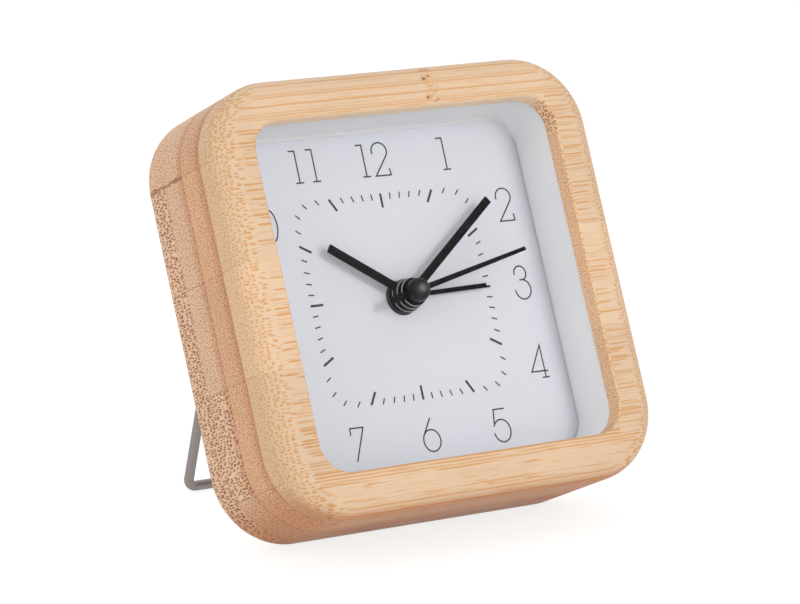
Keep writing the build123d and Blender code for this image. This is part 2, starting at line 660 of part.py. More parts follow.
BOARD_LEFT = BOARD_SIDE_GAP - CHAMBER_HALF_WIDTH
BOARD_RIGHT = min(x for x, z in PILLAR_SPOTS) - POST_R - BOARD_POST_GAP
BOARD_WIDTH = BOARD_RIGHT - BOARD_LEFT
BOARD_HEIGHT = CHAMBER_TOP - CHAMBER_BOTTOM - 2 * BOARD_END_GAP
BOARD_X = (BOARD_LEFT + BOARD_RIGHT) / 2
BOARD_Z = (CHAMBER_TOP + CHAMBER_BOTTOM) / 2
BOARD_FRONT = FLOOR + BOARD_LIFT
BOARD_BACK = BOARD_FRONT + BOARD_THICKNESS
BOARD_SPOTS = [(BOARD_X, BOARD_Z + side * (BOARD_HEIGHT / 2 - POST_R)) for side in (-1, 1)]


def circuit_board():
    """Board on two posts of the front shell."""
    return slab(Pos(BOARD_X, BOARD_Z) * Rectangle(BOARD_WIDTH, BOARD_HEIGHT), BOARD_FRONT, BOARD_BACK)


def timing_chip():
    """Potted chip, a low round blob."""
    blob = disc((BOARD_X, BOARD_Z), CHIP_R, BOARD_BACK, BOARD_BACK + CHIP_HEIGHT)
    return fillet(blob.faces().sort_by(Axis.Y)[-1].edges(), CHIP_HEIGHT / 2)


def quartz_crystal():
    """Small metal can lying on the board."""
    can = Cylinder(CRYSTAL_R, CRYSTAL_LENGTH)
    can = fillet(can.faces().sort_by(Axis.Z)[-1].edges(), CRYSTAL_R / 2)
    return Pos(BOARD_X, BOARD_BACK + CRYSTAL_R + PRESS_GAP, BOARD_Z - CHIP_SPACING) * can


def movement_front_shell():
    """Tub with the centre bush, posts, screw bosses and the battery bay."""
    bay_out = BAY_HALF_LENGTH + SHELL_WALL
    shell = panel(-bay_out, bay_out, BAY_BOTTOM - SHELL_WALL, CHAMBER_BOTTOM, DIAL_BACK, COVER_FRONT)
    shell += panel(-SHELL_HALF_WIDTH, SHELL_HALF_WIDTH, BAY_TOP, MOVEMENT_TOP, DIAL_BACK, BACK_FRONT)
    shell -= panel(-bay_out, bay_out, BAY_TOP, CHAMBER_BOTTOM, BACK_FRONT, COVER_FRONT)
    shell -= panel(-CHAMBER_HALF_WIDTH, CHAMBER_HALF_WIDTH, CHAMBER_BOTTOM, CHAMBER_TOP, FLOOR, BACK_FRONT)
    shell -= panel(-BAY_HALF_LENGTH, BAY_HALF_LENGTH, BAY_BOTTOM, BAY_TOP, FLOOR, COVER_FRONT)
    shell += disc(CENTRE, BUSH_R, DIAL_FRONT - BUSH_RISE, FLOOR)
    shell += [disc(spot, SHELL_BOSS_R, DIAL_BACK, BACK_FRONT) for spot in SHELL_SPOTS]
    shell += [disc(spot, POST_R, DIAL_BACK, MIDDLE_FRONT) for spot in PILLAR_SPOTS]
    shell += [disc(spot, POST_R, DIAL_BACK, BOARD_FRONT) for spot in BOARD_SPOTS]
    hole_front = COVER_FRONT - SHELL_SCREW_LENGTH - PRESS_GAP
    shell -= [disc(spot, SHELL_SCREW_R + PRESS_GAP, hole_front, BACK_FRONT) for spot in SHELL_SPOTS]
    return shell - disc(CENTRE, BUSH_IN, DIAL_FRONT - BUSH_RISE, FLOOR)


def movement_middle_plate():
    """Plate between the motion work and the train, with the minute wheel's stud and the front pivots."""
    lefts, heights = zip(*PILLAR_SPOTS)
    plate = panel(
        min(lefts) - PLATE_MARGIN,
        max(max(lefts), ROTOR_AXIS[0]) + PLATE_MARGIN,
        min(min(heights), ROTOR_AXIS[1]) - PLATE_MARGIN,
        max(heights) + PLATE_MARGIN,
        MIDDLE_FRONT,
        MIDDLE_BACK,
    )
    plate += disc(MINUTE_AXIS, STUD_R, HOUR_PLANE - PINION_OVERHANG, MIDDLE_BACK)
    holes = [(CENTRE, MINUTE_PIPE_R), (TIME_AXIS, SHAFT_R), (ALARM_AXIS, SHAFT_R)]
    holes += [(axis, TRAIN_ARBOR_R) for axis in (THIRD_AXIS, INTERMEDIATE_AXIS, ROTOR_AXIS)]
    return plate - [disc(axis, radius + RUNNING, MIDDLE_FRONT, MIDDLE_BACK) for axis, radius in holes]


def movement_back_plate():
    """Lid of the movement, with the rear pivots and the pillars that hold the middle plate."""
    plate = panel(-SHELL_HALF_WIDTH, SHELL_HALF_WIDTH, BAY_TOP, MOVEMENT_TOP, BACK_FRONT, COVER_FRONT)
    plate += [disc(spot, POST_R, MIDDLE_BACK, COVER_FRONT) for spot in PILLAR_SPOTS]
    holes = [(CENTRE, SECOND_ARBOR_R), (TIME_AXIS, SHAFT_R), (ALARM_AXIS, SHAFT_R)]
    holes += [(axis, TRAIN_ARBOR_R) for axis in (THIRD_AXIS, INTERMEDIATE_AXIS, ROTOR_AXIS)]
    plate -= [disc(axis, radius + RUNNING, BACK_FRONT, COVER_FRONT) for axis, radius in holes]
    head_front = COVER_FRONT - SHELL_SCREW_HEAD
    plate -= [disc(spot, SHELL_SCREW_HEAD_R + PRESS_GAP, head_front, COVER_FRONT) for spot in SHELL_SPOTS]
    return plate - [disc(spot, SHELL_SCREW_R + PRESS_GAP, BACK_FRONT, head_front) for spot in SHELL_SPOTS]


def screw(spot, radius, head_r, head, front, back):
    """Flat-headed screw, its head flush with the face at the back."""
    return disc(spot, head_r, back - head, back) + disc(spot, radius, front, back - head)


def movement_screws():
    """Screws that close the movement."""
    front = COVER_FRONT - SHELL_SCREW_LENGTH
    sizes = (SHELL_SCREW_R, SHELL_SCREW_HEAD_R, SHELL_SCREW_HEAD, front, COVER_FRONT)
    return Compound([screw(spot, *sizes) for spot in SHELL_SPOTS])


def rear_cover_screws():
    """Wood screws through the corners of the rear cover."""
    front = CASE_DEPTH - COVER_SCREW_LENGTH
    sizes = (COVER_SCREW_R, COVER_SCREW_HEAD_R, COVER_SCREW_HEAD, front, CASE_DEPTH)
    return Compound([screw(spot, *sizes) for spot in CORNER_SPOTS])


def set_shaft(axis, teeth, module, phase, plane):
    """Setting shaft with its pinion, from the shell's floor into its knob."""
    back = CASE_DEPTH + KNOB_LIFT + KNOB_BORE_DEPTH
    return disc(axis, SHAFT_R, FLOOR + PIVOT_INSET, back) + pinion(teeth, module, axis, phase, plane)


def time_set_shaft():
    """Shaft that turns the minute wheel."""
    phase = mesh_phase(MINUTE_TEETH, MINUTE_PHASE, TIME_PINION_TEETH, TIME_SHAFT_ANGLE)
    return set_shaft(TIME_AXIS, TIME_PINION_TEETH, MINUTE_MODULE, phase, MINUTE_PLANE)


def alarm_set_shaft():
    """Shaft that turns the alarm wheel."""
    phase = mesh_phase(ALARM_TEETH, 0, ALARM_PINION_TEETH, ALARM_SHAFT_ANGLE)
    return set_shaft(ALARM_AXIS, ALARM_PINION_TEETH, ALARM_MODULE, phase, ALARM_PLANE)


def knob(axis):
    """Fluted knob on the end of a setting shaft."""
    front = CASE_DEPTH + KNOB_LIFT
    back = front + KNOB_HEIGHT
    outline = Pos(*axis) * Circle(KNOB_R)
    for rib in range(KNOB_RIBS):
        outline -= Pos(*polar(axis, KNOB_R, 360 * rib / KNOB_RIBS)) * Circle(KNOB_RIB_R)
    body = chamfer(slab(outline, front, back).faces().sort_by(Axis.Y)[-1].edges(), KNOB_ROUND)
    return body - disc(axis, SHAFT_R + PRESS_GAP, front, front + KNOB_BORE_DEPTH + PRESS_GAP)


def battery_cell():
    """Round cell lying across the bay, its nub to the right."""
    can = bar(Pos(CELL_Y, BAY_Z) * Circle(CELL_R), CELL_NEGATIVE_X, CELL_POSITIVE_X - CELL_NUB)
    can = fillet(can.edges().filter_by(GeomType.CIRCLE), CELL_EDGE)
    return can + bar(Pos(CELL_Y, BAY_Z) * Circle(CELL_NUB_R), CELL_POSITIVE_X - CELL_NUB, CELL_POSITIVE_X)


def negative_contact():
    """Bowed leaf spring between the end of the bay and the cell."""
    wall = -BAY_HALF_LENGTH + CONTACT_GAP
    crown = CELL_NEGATIVE_X - CONTACT_GAP
    half = CONTACT_HALF_DEPTH
    half_in = half - 2 * CONTACT_THICKNESS
    rim = ThreePointArc((wall, -half), (crown, 0), (wall, half))
    inner = ThreePointArc((wall, half_in), (crown - CONTACT_THICKNESS, 0), (wall, -half_in))
    ends = [Line(rim @ 1, inner @ 0), Line(inner @ 1, rim @ 0)]
    outline = Pos(0, CELL_Y) * make_face([rim, ends[0], inner, ends[1]])
    return column(outline, BAY_Z - CONTACT_WIDTH / 2, BAY_Z + CONTACT_WIDTH / 2)


def positive_contact():
    """Flat plate with a round boss that meets the cell's nub."""
    wall = BAY_HALF_LENGTH - CONTACT_GAP
    seat = Pos(CELL_Y, BAY_Z)
    outline = RectangleRounded(2 * CONTACT_HALF_DEPTH, CONTACT_WIDTH, CONTACT_THICKNESS)
    plate = bar(seat * outline, wall - CONTACT_THICKNESS, wall)
    return plate + bar(seat * Circle(CONTACT_BOSS_R), CELL_POSITIVE_X + CONTACT_GAP, wall)


def battery_door():
    """Lid with a hollow crown over the cell, a flange all round and a hinge barrel with stub pins."""
    crown_in = CELL_R + DOOR_GAP
    seat = Pos(CELL_Y, BAY_Z)
    front = COVER_FRONT + DOOR_SEAT_GAP
    flange_middle = Pos((front + CASE_DEPTH) / 2, (DOOR_BOTTOM + DOOR_AXIS_Z) / 2)
    flange = flange_middle * Rectangle(CASE_DEPTH - front, DOOR_AXIS_Z - DOOR_BOTTOM)
    behind = Pos(front + CELL_D / 2, BAY_Z) * Rectangle(CELL_D, 2 * BAY_HALF_HEIGHT)
    crown = (seat * Circle(crown_in + DOOR_CROWN)) & behind
    barrel = Pos(DOOR_AXIS_Y, DOOR_AXIS_Z) * Circle(DOOR_BARREL_R)
    hollow = DOOR_HALF_LENGTH - DOOR_CROWN
    lid = bar(flange + crown + barrel, -DOOR_HALF_LENGTH, DOOR_HALF_LENGTH)
    lid -= bar(seat * Circle(crown_in), -hollow, hollow)
    reach = DOOR_HALF_LENGTH + DOOR_PIN_LENGTH
    return lid + bar(Pos(DOOR_AXIS_Y, DOOR_AXIS_Z) * Circle(DOOR_PIN_R), -reach, reach)


def alarm_switch_slider():
    """Thumb piece, stem and inner flange of the alarm switch, at the off end of its slot."""
    seat = Pos(SWITCH_X - SWITCH_TRAVEL / 2, SWITCH_Z)
    lap = 2 * SWITCH_FLANGE_LAP
    flange_back = COVER_FRONT - SWITCH_PLAY
    flange_front = flange_back - SWITCH_FLANGE
    stem = seat * Rectangle(SWITCH_STEM_LENGTH, SWITCH_STEM_HEIGHT)
    flange = seat * Rectangle(SWITCH_STEM_LENGTH + lap, SWITCH_STEM_HEIGHT + lap)
    return slab(stem, flange_front, CASE_DEPTH + SWITCH_THUMB) + slab(flange, flange_front, flange_back)


def alarm_switch_body():
    """Channel on the inside of the rear cover that the slider runs in."""
    length = SWITCH_STEM_LENGTH + SWITCH_TRAVEL + 2 * (SWITCH_FLANGE_LAP + SWITCH_PLAY)
    height = SWITCH_STEM_HEIGHT + 2 * (SWITCH_FLANGE_LAP + SWITCH_PLAY)
    walls = 2 * SWITCH_BODY_WALL
    channel_front = COVER_FRONT - 2 * SWITCH_PLAY - SWITCH_FLANGE
    seat = Pos(SWITCH_X, SWITCH_Z)
    body_front = channel_front - SWITCH_BODY_WALL
    body = slab(seat * Rectangle(length + walls, height + walls), body_front, COVER_FRONT)
    return body - slab(seat * Rectangle(length, height), channel_front, COVER_FRONT)


def buzzer():
    """Round sounder behind the slots of the rear cover."""
    can = disc((BUZZER_X, BUZZER_Z), BUZZER_R, COVER_FRONT - BUZZER_HEIGHT, COVER_FRONT)
    return fillet(can.faces().sort_by(Axis.Y)[0].edges(), BUZZER_EDGE)


def stand_lug(side):
    """Hinge lug: a bearing for the wire's pin, and a slot whose roof stops the leg at its angle."""
    slot_in = STAND_HALF_WIDTH - WIRE_BEND_R - LUG_SLOT_PLAY / 2
    slot_out = STAND_HALF_WIDTH + WIRE_R + LUG_SLOT_PLAY
    bearing_in = slot_in - STAND_PIN
    back = CASE_DEPTH + LUG_DEPTH
    profile = Polygon(
        (CASE_DEPTH, HINGE_Z - LUG_BELOW),
        (back, HINGE_Z - LUG_BELOW + LUG_SLOPE),
        (back, HINGE_Z + LUG_ABOVE - LUG_SLOPE),
        (CASE_DEPTH, HINGE_Z + LUG_ABOVE),
        align=None,
    )
    profile = fillet(profile.vertices().sort_by(Axis.X)[-2:], LUG_ROUND)
    lug = bar(profile, bearing_in, slot_out + LUG_CHEEK)
    roof = WIRE_R + STOP_GAP
    span = 2 * (LUG_BELOW + LUG_ABOVE)
    below_roof = Rot(0, 0, STAND_ANGLE) * (Pos(roof - span / 2, 0) * Rectangle(span, 2 * span))
    lug -= bar(Pos(HINGE_Y, HINGE_Z) * below_roof, slot_in, slot_out)
    lug -= bar(Pos(HINGE_Y, HINGE_Z) * Circle(WIRE_R + RUNNING), bearing_in, slot_in)
    return lug if side > 0 else mirror(lug, about=Plane.YZ)


def rear_cover():
    """Plastic back with the stand's lugs and every hole that is used from behind."""
    width = RECESS_WIDTH - 2 * DROP_IN
    height = RECESS_HEIGHT - 2 * DROP_IN
    cover = slab(RectangleRounded(width, height, RECESS_CORNER - DROP_IN), COVER_FRONT, CASE_DEPTH)
    door_low = DOOR_BOTTOM - DOOR_GAP
    door_top = DOOR_AXIS_Z + DOOR_BARREL_R + DOOR_BARREL_GAP
    cover -= panel(-BAY_HALF_LENGTH, BAY_HALF_LENGTH, door_low, door_top, COVER_FRONT, CASE_DEPTH)
    pin_reach = DOOR_HALF_LENGTH + DOOR_PIN_LENGTH + DOOR_GAP
    cover -= bar(Pos(DOOR_AXIS_Y, DOOR_AXIS_Z) * Circle(DOOR_PIN_R + RUNNING), -pin_reach, pin_reach)
    cover -= disc((0, DOOR_BOTTOM), THUMB_NOTCH_R, CASE_DEPTH - THUMB_NOTCH_DEPTH, CASE_DEPTH)
    for axis in (TIME_AXIS, ALARM_AXIS):
        cover -= disc(axis, SHAFT_R + SHAFT_HOLE_GAP, COVER_FRONT, CASE_DEPTH)
    slot_length = SWITCH_STEM_LENGTH + SWITCH_TRAVEL + 2 * SWITCH_PLAY
    slot_height = SWITCH_STEM_HEIGHT + 2 * SWITCH_PLAY
    cover -= slab(Pos(SWITCH_X, SWITCH_Z) * Rectangle(slot_length, slot_height), COVER_FRONT, CASE_DEPTH)
    for slot in range(SOUND_SLOTS):
        offset = (slot - (SOUND_SLOTS - 1) / 2) * SOUND_SLOT_PITCH
        reach = (BUZZER_R ** 2 - offset ** 2) ** 0.5 - SOUND_SLOT_MARGIN
        sound_slot = Pos(BUZZER_X, BUZZER_Z + offset) * SlotCenterToCenter(2 * reach, SOUND_SLOT_WIDTH)
        cover -= slab(sound_slot, COVER_FRONT, CASE_DEPTH)
    head_front = CASE_DEPTH - COVER_SCREW_HEAD
    cover -= [disc(spot, COVER_SCREW_HEAD_R + PRESS_GAP, head_front, CASE_DEPTH) for spot in CORNER_SPOTS]
    cover -= [disc(spot, COVER_SCREW_R + PRESS_GAP, COVER_FRONT, head_front) for spot in CORNER_SPOTS]
    return cover + [stand_lug(-1), stand_lug(1)]


def wire_stand():
    """One bent wire: two pins turned inwards, two legs and the foot."""
    pin_end = STAND_HALF_WIDTH - WIRE_BEND_R - STAND_PIN
    corners = [
        (-pin_end, 0, 0),
        (-STAND_HALF_WIDTH, 0, 0),
        (-STAND_HALF_WIDTH, 0, -STAND_LEG),
        (STAND_HALF_WIDTH, 0, -STAND_LEG),
        (STAND_HALF_WIDTH, 0, 0),
        (pin_end, 0, 0),
    ]
    path = FilletPolyline(*corners, radius=WIRE_BEND_R)
    wire = sweep(Plane(origin=path @ 0, z_dir=path % 0) * Circle(WIRE_R), path=path)
    return Pos(0, HINGE_Y, HINGE_Z) * (Rot(X=STAND_ANGLE) * wire)


pieces = {
    "bamboo_case": bamboo_case(),
    "lens": lens(),
    "inner_bezel": inner_bezel(),
    "dial": dial(),
    "rear_cover": rear_cover(),
    "rear_cover_screws": rear_cover_screws(),
    "wire_stand": wire_stand(),
    "battery_door": battery_door(),
    "alarm_hand": alarm_hand(),
    "hour_hand": hour_hand(),
    "minute_hand": minute_hand(),
    "second_hand": second_hand(),
    "hand_cap": hand_cap(),
    "movement_front_shell": movement_front_shell(),
    "movement_middle_plate": movement_middle_plate(),
    "movement_back_plate": movement_back_plate(),
    "movement_screws": movement_screws(),
    "alarm_wheel": alarm_wheel(),
    "hour_wheel": hour_wheel(),
    "cannon_pinion": cannon_pinion(),
    "minute_wheel": minute_wheel(),
    "centre_wheel": centre_wheel(),
    "third_wheel": third_wheel(),
    "seconds_wheel": seconds_wheel(),
    "intermediate_wheel": intermediate_wheel(),
    "rotor": rotor(),
    "stator": stator(),
    "coil_core": coil_core(),
    "coil_bobbin": coil_bobbin(),
    "coil_winding": coil_winding(),
    "circuit_board": circuit_board(),
    "timing_chip": timing_chip(),
    "quartz_crystal": quartz_crystal(),
    "time_set_shaft": time_set_shaft(),
    "time_set_knob": knob(TIME_AXIS),
    "alarm_set_shaft": alarm_set_shaft(),
    "alarm_set_knob": knob(ALARM_AXIS),
    "alarm_switch_slider": alarm_switch_slider(),
    "alarm_switch_body": alarm_switch_body(),
    "buzzer": buzzer(),
    "battery_cell": battery_cell(),
    "negative_contact": negative_contact(),
    "positive_contact": positive_contact(),
}

# Lean every piece back and set the clock down: the case's rear edge and the wire's foot touch the table,
# and the origin is in the middle of the footprint.
lean_sin = sin(radians(LEAN))
lean_cos = cos(radians(LEAN))
TABLE = EDGE_Z * lean_cos - EDGE_Y * lean_sin - REAR_ROUND
FOREMOST = FRONT_ROUND * lean_cos + (FRONT_ROUND - CASE_HEIGHT / 2) * lean_sin - FRONT_ROUND
REARMOST = FOOT_Y * lean_cos + FOOT_Z * lean_sin + WIRE_R
place = Pos(0, -(FOREMOST + REARMOST) / 2, -TABLE) * Rot(X=-LEAN)

os.makedirs("parts", exist_ok=True)
for name, piece in pieces.items():
    export_step(place * piece, f"parts/{name}.step")
print(f"lean {LEAN:.2f} degrees, depth {CASE_DEPTH:.2f} mm")
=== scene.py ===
import bmesh
import bpy
import json
from math import atan2, cos, radians, sin, tau
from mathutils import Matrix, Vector
from types import SimpleNamespace


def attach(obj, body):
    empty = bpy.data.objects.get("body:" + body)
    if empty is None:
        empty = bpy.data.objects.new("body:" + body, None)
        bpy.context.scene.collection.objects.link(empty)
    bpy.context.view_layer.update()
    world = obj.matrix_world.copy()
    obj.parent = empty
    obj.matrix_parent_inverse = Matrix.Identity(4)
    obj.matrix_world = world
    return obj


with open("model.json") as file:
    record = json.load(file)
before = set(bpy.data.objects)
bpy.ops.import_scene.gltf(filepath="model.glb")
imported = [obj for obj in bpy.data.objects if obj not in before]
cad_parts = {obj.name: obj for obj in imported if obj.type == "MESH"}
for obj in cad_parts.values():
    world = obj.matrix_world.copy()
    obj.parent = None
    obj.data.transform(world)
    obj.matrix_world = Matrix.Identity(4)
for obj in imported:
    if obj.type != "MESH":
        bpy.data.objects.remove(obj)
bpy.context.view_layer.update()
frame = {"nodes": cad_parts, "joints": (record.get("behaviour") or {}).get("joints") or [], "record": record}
nodes = frame["nodes"]

# The clock leans back: its arbor points backwards and its face rises square to the arbor
MM = 0.001
minute_spin = next(joint for joint in frame["joints"] if joint["name"] == "minute_spin")
ARBOR = Vector(minute_spin["pos_m"])
BACK = Vector(minute_spin["axis"]).normalized()
RIGHT = Vector((1.0, 0.0, 0.0))
UP = RIGHT.cross(BACK)
LEAN = atan2(UP.y, UP.z)


def arbor_at_front_of(node):
    """The point where the arbor's line passes the foremost face of a node."""
    front = min(BACK.dot(vertex.co) for vertex in nodes[node].data.vertices)
    return ARBOR + BACK * (front - BACK.dot(ARBOR))


CASE_FRONT = arbor_at_front_of("bamboo_case")
DIAL_FRONT = arbor_at_front_of("dial")

# Photograph: camera, studio light and white sweep
CAMERA_AZIMUTH = radians(-32.981)
CAMERA_ELEVATION = radians(12.920)
CAMERA_ROLL = radians(0.921)
CAMERA_DISTANCE = 0.91988
CAMERA_TARGET = Vector((-0.00048, -0.00377, 0.05013))
CAMERA_LENS = 183.83
SENSOR_WIDTH = 36.0
WORLD_LIGHT = 0.7
BACKGROUND_WHITE = 1.0
FLOOR_HALF = 3.0
FLOOR_BOUNCE = 0.92
FLOOR_SEEN = 0.3
FLOOR_GLOW = 0.8
FLOOR_ROUGHNESS = 0.9
# Softboxes: azimuth and elevation in degrees, distance and size in metres, power in watts
SOFTBOXES = {
    "key_softbox": (12.0, 28.0, 1.3, 0.4, 2.6),
    "side_softbox": (-75.0, 25.0, 1.3, 0.9, 2.8),
    "low_softbox": (-8.0, 3.0, 1.3, 0.9, 2.2),
}


def direction(azimuth, elevation):
    """The unit vector from the clock towards a viewpoint, azimuth 0 being straight in front."""
    return Vector((sin(azimuth) * cos(elevation), -cos(azimuth) * cos(elevation), sin(elevation)))


def aim(thing, target, towards, distance):
    """Puts a camera or lamp at a distance from the target and points it there, upright."""
    thing.location = target + towards * distance
    thing.rotation_euler = towards.to_track_quat("Z", "Y").to_euler()
    bpy.context.scene.collection.objects.link(thing)


def set_camera():
    data = bpy.data.cameras.new("photo_camera")
    data.lens = CAMERA_LENS
    data.sensor_width = SENSOR_WIDTH
    data.sensor_fit = "HORIZONTAL"
    camera = bpy.data.objects.new("photo_camera", data)
    aim(camera, CAMERA_TARGET, direction(CAMERA_AZIMUTH, CAMERA_ELEVATION), CAMERA_DISTANCE)
    camera.rotation_euler.rotate_axis("Z", CAMERA_ROLL)
    bpy.context.scene.camera = camera


def set_softboxes():
    for name, (azimuth, elevation, distance, size, power) in SOFTBOXES.items():
        data = bpy.data.lights.new(name, "AREA")
        data.shape = "DISK"
        data.size = size
        data.energy = power
        lamp = bpy.data.objects.new(name, data)
        aim(lamp, CAMERA_TARGET, direction(radians(azimuth), radians(elevation)), distance)


# Wiring of shader nodes
NOISE_MEAN = 0.5
LOW_DETAIL = 1.0
HIGH_DETAIL = 3.0


def join(tree, value, socket):
    """Links an output to an input, or sets a plain value on it."""
    if isinstance(value, bpy.types.NodeSocket):
        tree.links.new(value, socket)
    else:
        socket.default_value = value


def put(tree, kind, inputs=(), **settings):
    """Adds a node, with its settings and inputs, and returns it."""
    new = tree.nodes.new(kind)
    for name, value in settings.items():
        setattr(new, name, value)
    for name, value in dict(inputs).items():
        join(tree, value, new.inputs[name])
    return new


def calc(tree, operation, *values):
    return put(tree, "ShaderNodeMath", enumerate(values), operation=operation).outputs[0]


def product(tree, first, *others):
    for other in others:
        first = calc(tree, "MULTIPLY", first, other)
    return first


def total(tree, first, *others):
    for other in others:
        first = calc(tree, "ADD", first, other)
    return first


def opposite(tree, mask):
    return calc(tree, "SUBTRACT", 1.0, mask)


def vector_calc(tree, operation, *vectors):
    """Vector arithmetic; lengths and dot products come out as plain values."""
    results = put(tree, "ShaderNodeVectorMath", enumerate(vectors), operation=operation).outputs
    return results["Value" if operation in ("LENGTH", "DOT_PRODUCT") else "Vector"]


def ease(tree, value, start, end, low=0.0, high=1.0):
    """Rises smoothly from low at start to high at end."""
    limits = {"Value": value, "From Min": start, "From Max": end, "To Min": low, "To Max": high}
    return put(tree, "ShaderNodeMapRange", limits, interpolation_type="SMOOTHSTEP").outputs[0]


def choose(tree, mask, off, on):
    """One value where the mask is 0 and another where it is 1."""
    return ease(tree, mask, 0.0, 1.0, off, on)


def tint(tree, share, first, second, how="MIX"):
    sockets = {0: share, 6: first, 7: second}
    return put(tree, "ShaderNodeMix", sockets, data_type="RGBA", blend_type=how).outputs[2]


def brighten(tree, colour, value):
    return put(tree, "ShaderNodeHueSaturation", {"Value": value, "Color": colour}).outputs[0]


def point(tree, x, y, z):
    return put(tree, "ShaderNodeCombineXYZ", {"X": x, "Y": y, "Z": z}).outputs[0]


def separate(tree, vector):
    return put(tree, "ShaderNodeSeparateXYZ", {0: vector}).outputs


def channels(tree, colour):
    return put(tree, "ShaderNodeSeparateColor", {0: colour}).outputs


def noise(tree, where, scale, detail=2.0):
    return put(tree, "ShaderNodeTexNoise", {"Vector": where, "Scale": scale, "Detail": detail})


def surface_point(tree):
    return put(tree, "ShaderNodeTexCoord").outputs["Object"]


def surface_normal(tree):
    return put(tree, "ShaderNodeNewGeometry").outputs["Normal"]


def facing_front(tree):
    """1 where a surface faces the way the dial does, 0 on walls along the arbor."""
    return vector_calc(tree, "DOT_PRODUCT", surface_normal(tree), -BACK)


def upright_mm(tree, origin):
    """Where a point of the surface lies from an origin: millimetres right, back and up the clock."""
    sockets = {
        "Vector": surface_point(tree),
        "Location": origin,
        "Rotation": (-LEAN, 0.0, 0.0),
        "Scale": (MM, MM, MM),
    }
    return put(tree, "ShaderNodeMapping", sockets, vector_type="TEXTURE").outputs[0]


def bump(tree, height, depth):
    return put(tree, "ShaderNodeBump", {"Height": height, "Distance": depth, "Strength": 1.0}).outputs[0]


def srgb(red, green, blue):
    """A colour as it is read off a screen, made linear for a shader."""
    shares = [level / 255 for level in (red, green, blue)]
    linear = [s / 12.92 if s <= 0.04045 else ((s + 0.055) / 1.055) ** 2.4 for s in shares]
    return (*linear, 1.0)


def grey(level):
    return (level, level, level, 1.0)


def new_finish(name):
    """An empty material, ready to be wired."""
    finish = bpy.data.materials.new(name)
    finish.use_nodes = True
    finish.node_tree.nodes.clear()
    return finish, finish.node_tree


def principled(tree, inputs):
    return put(tree, "ShaderNodeBsdfPrincipled", inputs).outputs[0]


def show(tree, shader):
    put(tree, "ShaderNodeOutputMaterial", {"Surface": shader})


def new_effect(name, inputs, outputs):
    """A node group with named sockets, returned with its two ends."""
    group = bpy.data.node_groups.new(name, "ShaderNodeTree")
    for label, (kind, start) in inputs.items():
        socket = group.interface.new_socket(name=label, in_out="INPUT", socket_type=kind)
        socket.default_value = start
    for label, kind in outputs.items():
        group.interface.new_socket(name=label, in_out="OUTPUT", socket_type=kind)
    taken = group.nodes.new("NodeGroupInput").outputs
    given = group.nodes.new("NodeGroupOutput").inputs
    return group, taken, given


def place_effect(tree, group, **inputs):
    """Places a node group in a material, its inputs named with underscores for spaces."""
    new = tree.nodes.new("ShaderNodeGroup")
    new.node_tree = group
    for label, value in inputs.items():
        join(tree, value, new.inputs[label.replace("_", " ")])
    return new.outputs


# Effects that several finishes share
FLOAT = "NodeSocketFloat"
COLOUR = "NodeSocketColor"
SURFACE_OUTPUTS = {"Color": COLOUR, "Roughness": FLOAT, "Height": FLOAT}
SKIN_CLOUD_SCALE = 90.0
PIT_ROUGHNESS = 0.15
PATCH_SCALE = 140.0
PATCH_ROUGHNESS = 0.3
RUB_SAMPLES = 4
# Ramps, here and below: where a value starts and ends, then its two levels unless they are 0 and 1
DRAW_LINE_TONE = (0.3, 0.7, 0.92, 1.04)
PATCH_TONE = (0.3, 0.7, -0.05, 0.03)
RUB_TURN = (0.98, 0.8)


def make_moulded_skin():
    """Moulded plastic: cloudy tone, fine spark-eroded pits."""
    inputs = {
        "Color": (COLOUR, grey(0.8)),
        "Cloud": (FLOAT, 0.05),
        "Pit Scale": (FLOAT, 4000.0),
        "Roughness": (FLOAT, 0.5),
    }
    group, taken, given = new_effect("moulded_skin", inputs, SURFACE_OUTPUTS)
    where = surface_point(group)
    cloud = noise(group, where, SKIN_CLOUD_SCALE, HIGH_DETAIL).outputs["Fac"]
    pits = noise(group, where, taken["Pit Scale"], LOW_DETAIL).outputs["Fac"]
    cloud_swing = calc(group, "SUBTRACT", cloud, NOISE_MEAN)
    pit_swing = calc(group, "SUBTRACT", pits, NOISE_MEAN)
    swing = product(group, cloud_swing, taken["Cloud"])
    speck = product(group, pit_swing, taken["Cloud"])
    rough = calc(group, "MULTIPLY_ADD", pit_swing, PIT_ROUGHNESS, taken["Roughness"])
    join(group, brighten(group, taken["Color"], total(group, 1.0, swing, speck)), given["Color"])
    join(group, rough, given["Roughness"])
    join(group, pits, given["Height"])
    return group


def make_drawn_metal():
    """Drawn or rolled metal: fine draw lines, stretched across the clock, and dull patches."""
    inputs = {
        "Color": (COLOUR, grey(0.6)),
        "Line Scale": (FLOAT, 3000.0),
        "Line Length": (FLOAT, 0.05),
        "Roughness": (FLOAT, 0.35),
    }
    group, taken, given = new_effect("drawn_metal", inputs, SURFACE_OUTPUTS)
    where = surface_point(group)
    x, y, z = separate(group, where)
    along = product(group, x, taken["Line Length"])
    lines = noise(group, point(group, along, y, z), taken["Line Scale"]).outputs["Fac"]
    patches = noise(group, where, PATCH_SCALE, HIGH_DETAIL).outputs["Fac"]
    value = total(group, ease(group, lines, *DRAW_LINE_TONE), ease(group, patches, *PATCH_TONE))
    patch_swing = calc(group, "SUBTRACT", patches, NOISE_MEAN)
    rough = calc(group, "MULTIPLY_ADD", patch_swing, PATCH_ROUGHNESS, taken["Roughness"])
    join(group, brighten(group, taken["Color"], value), given["Color"])
    join(group, rough, given["Roughness"])
    join(group, lines, given["Height"])
    return group


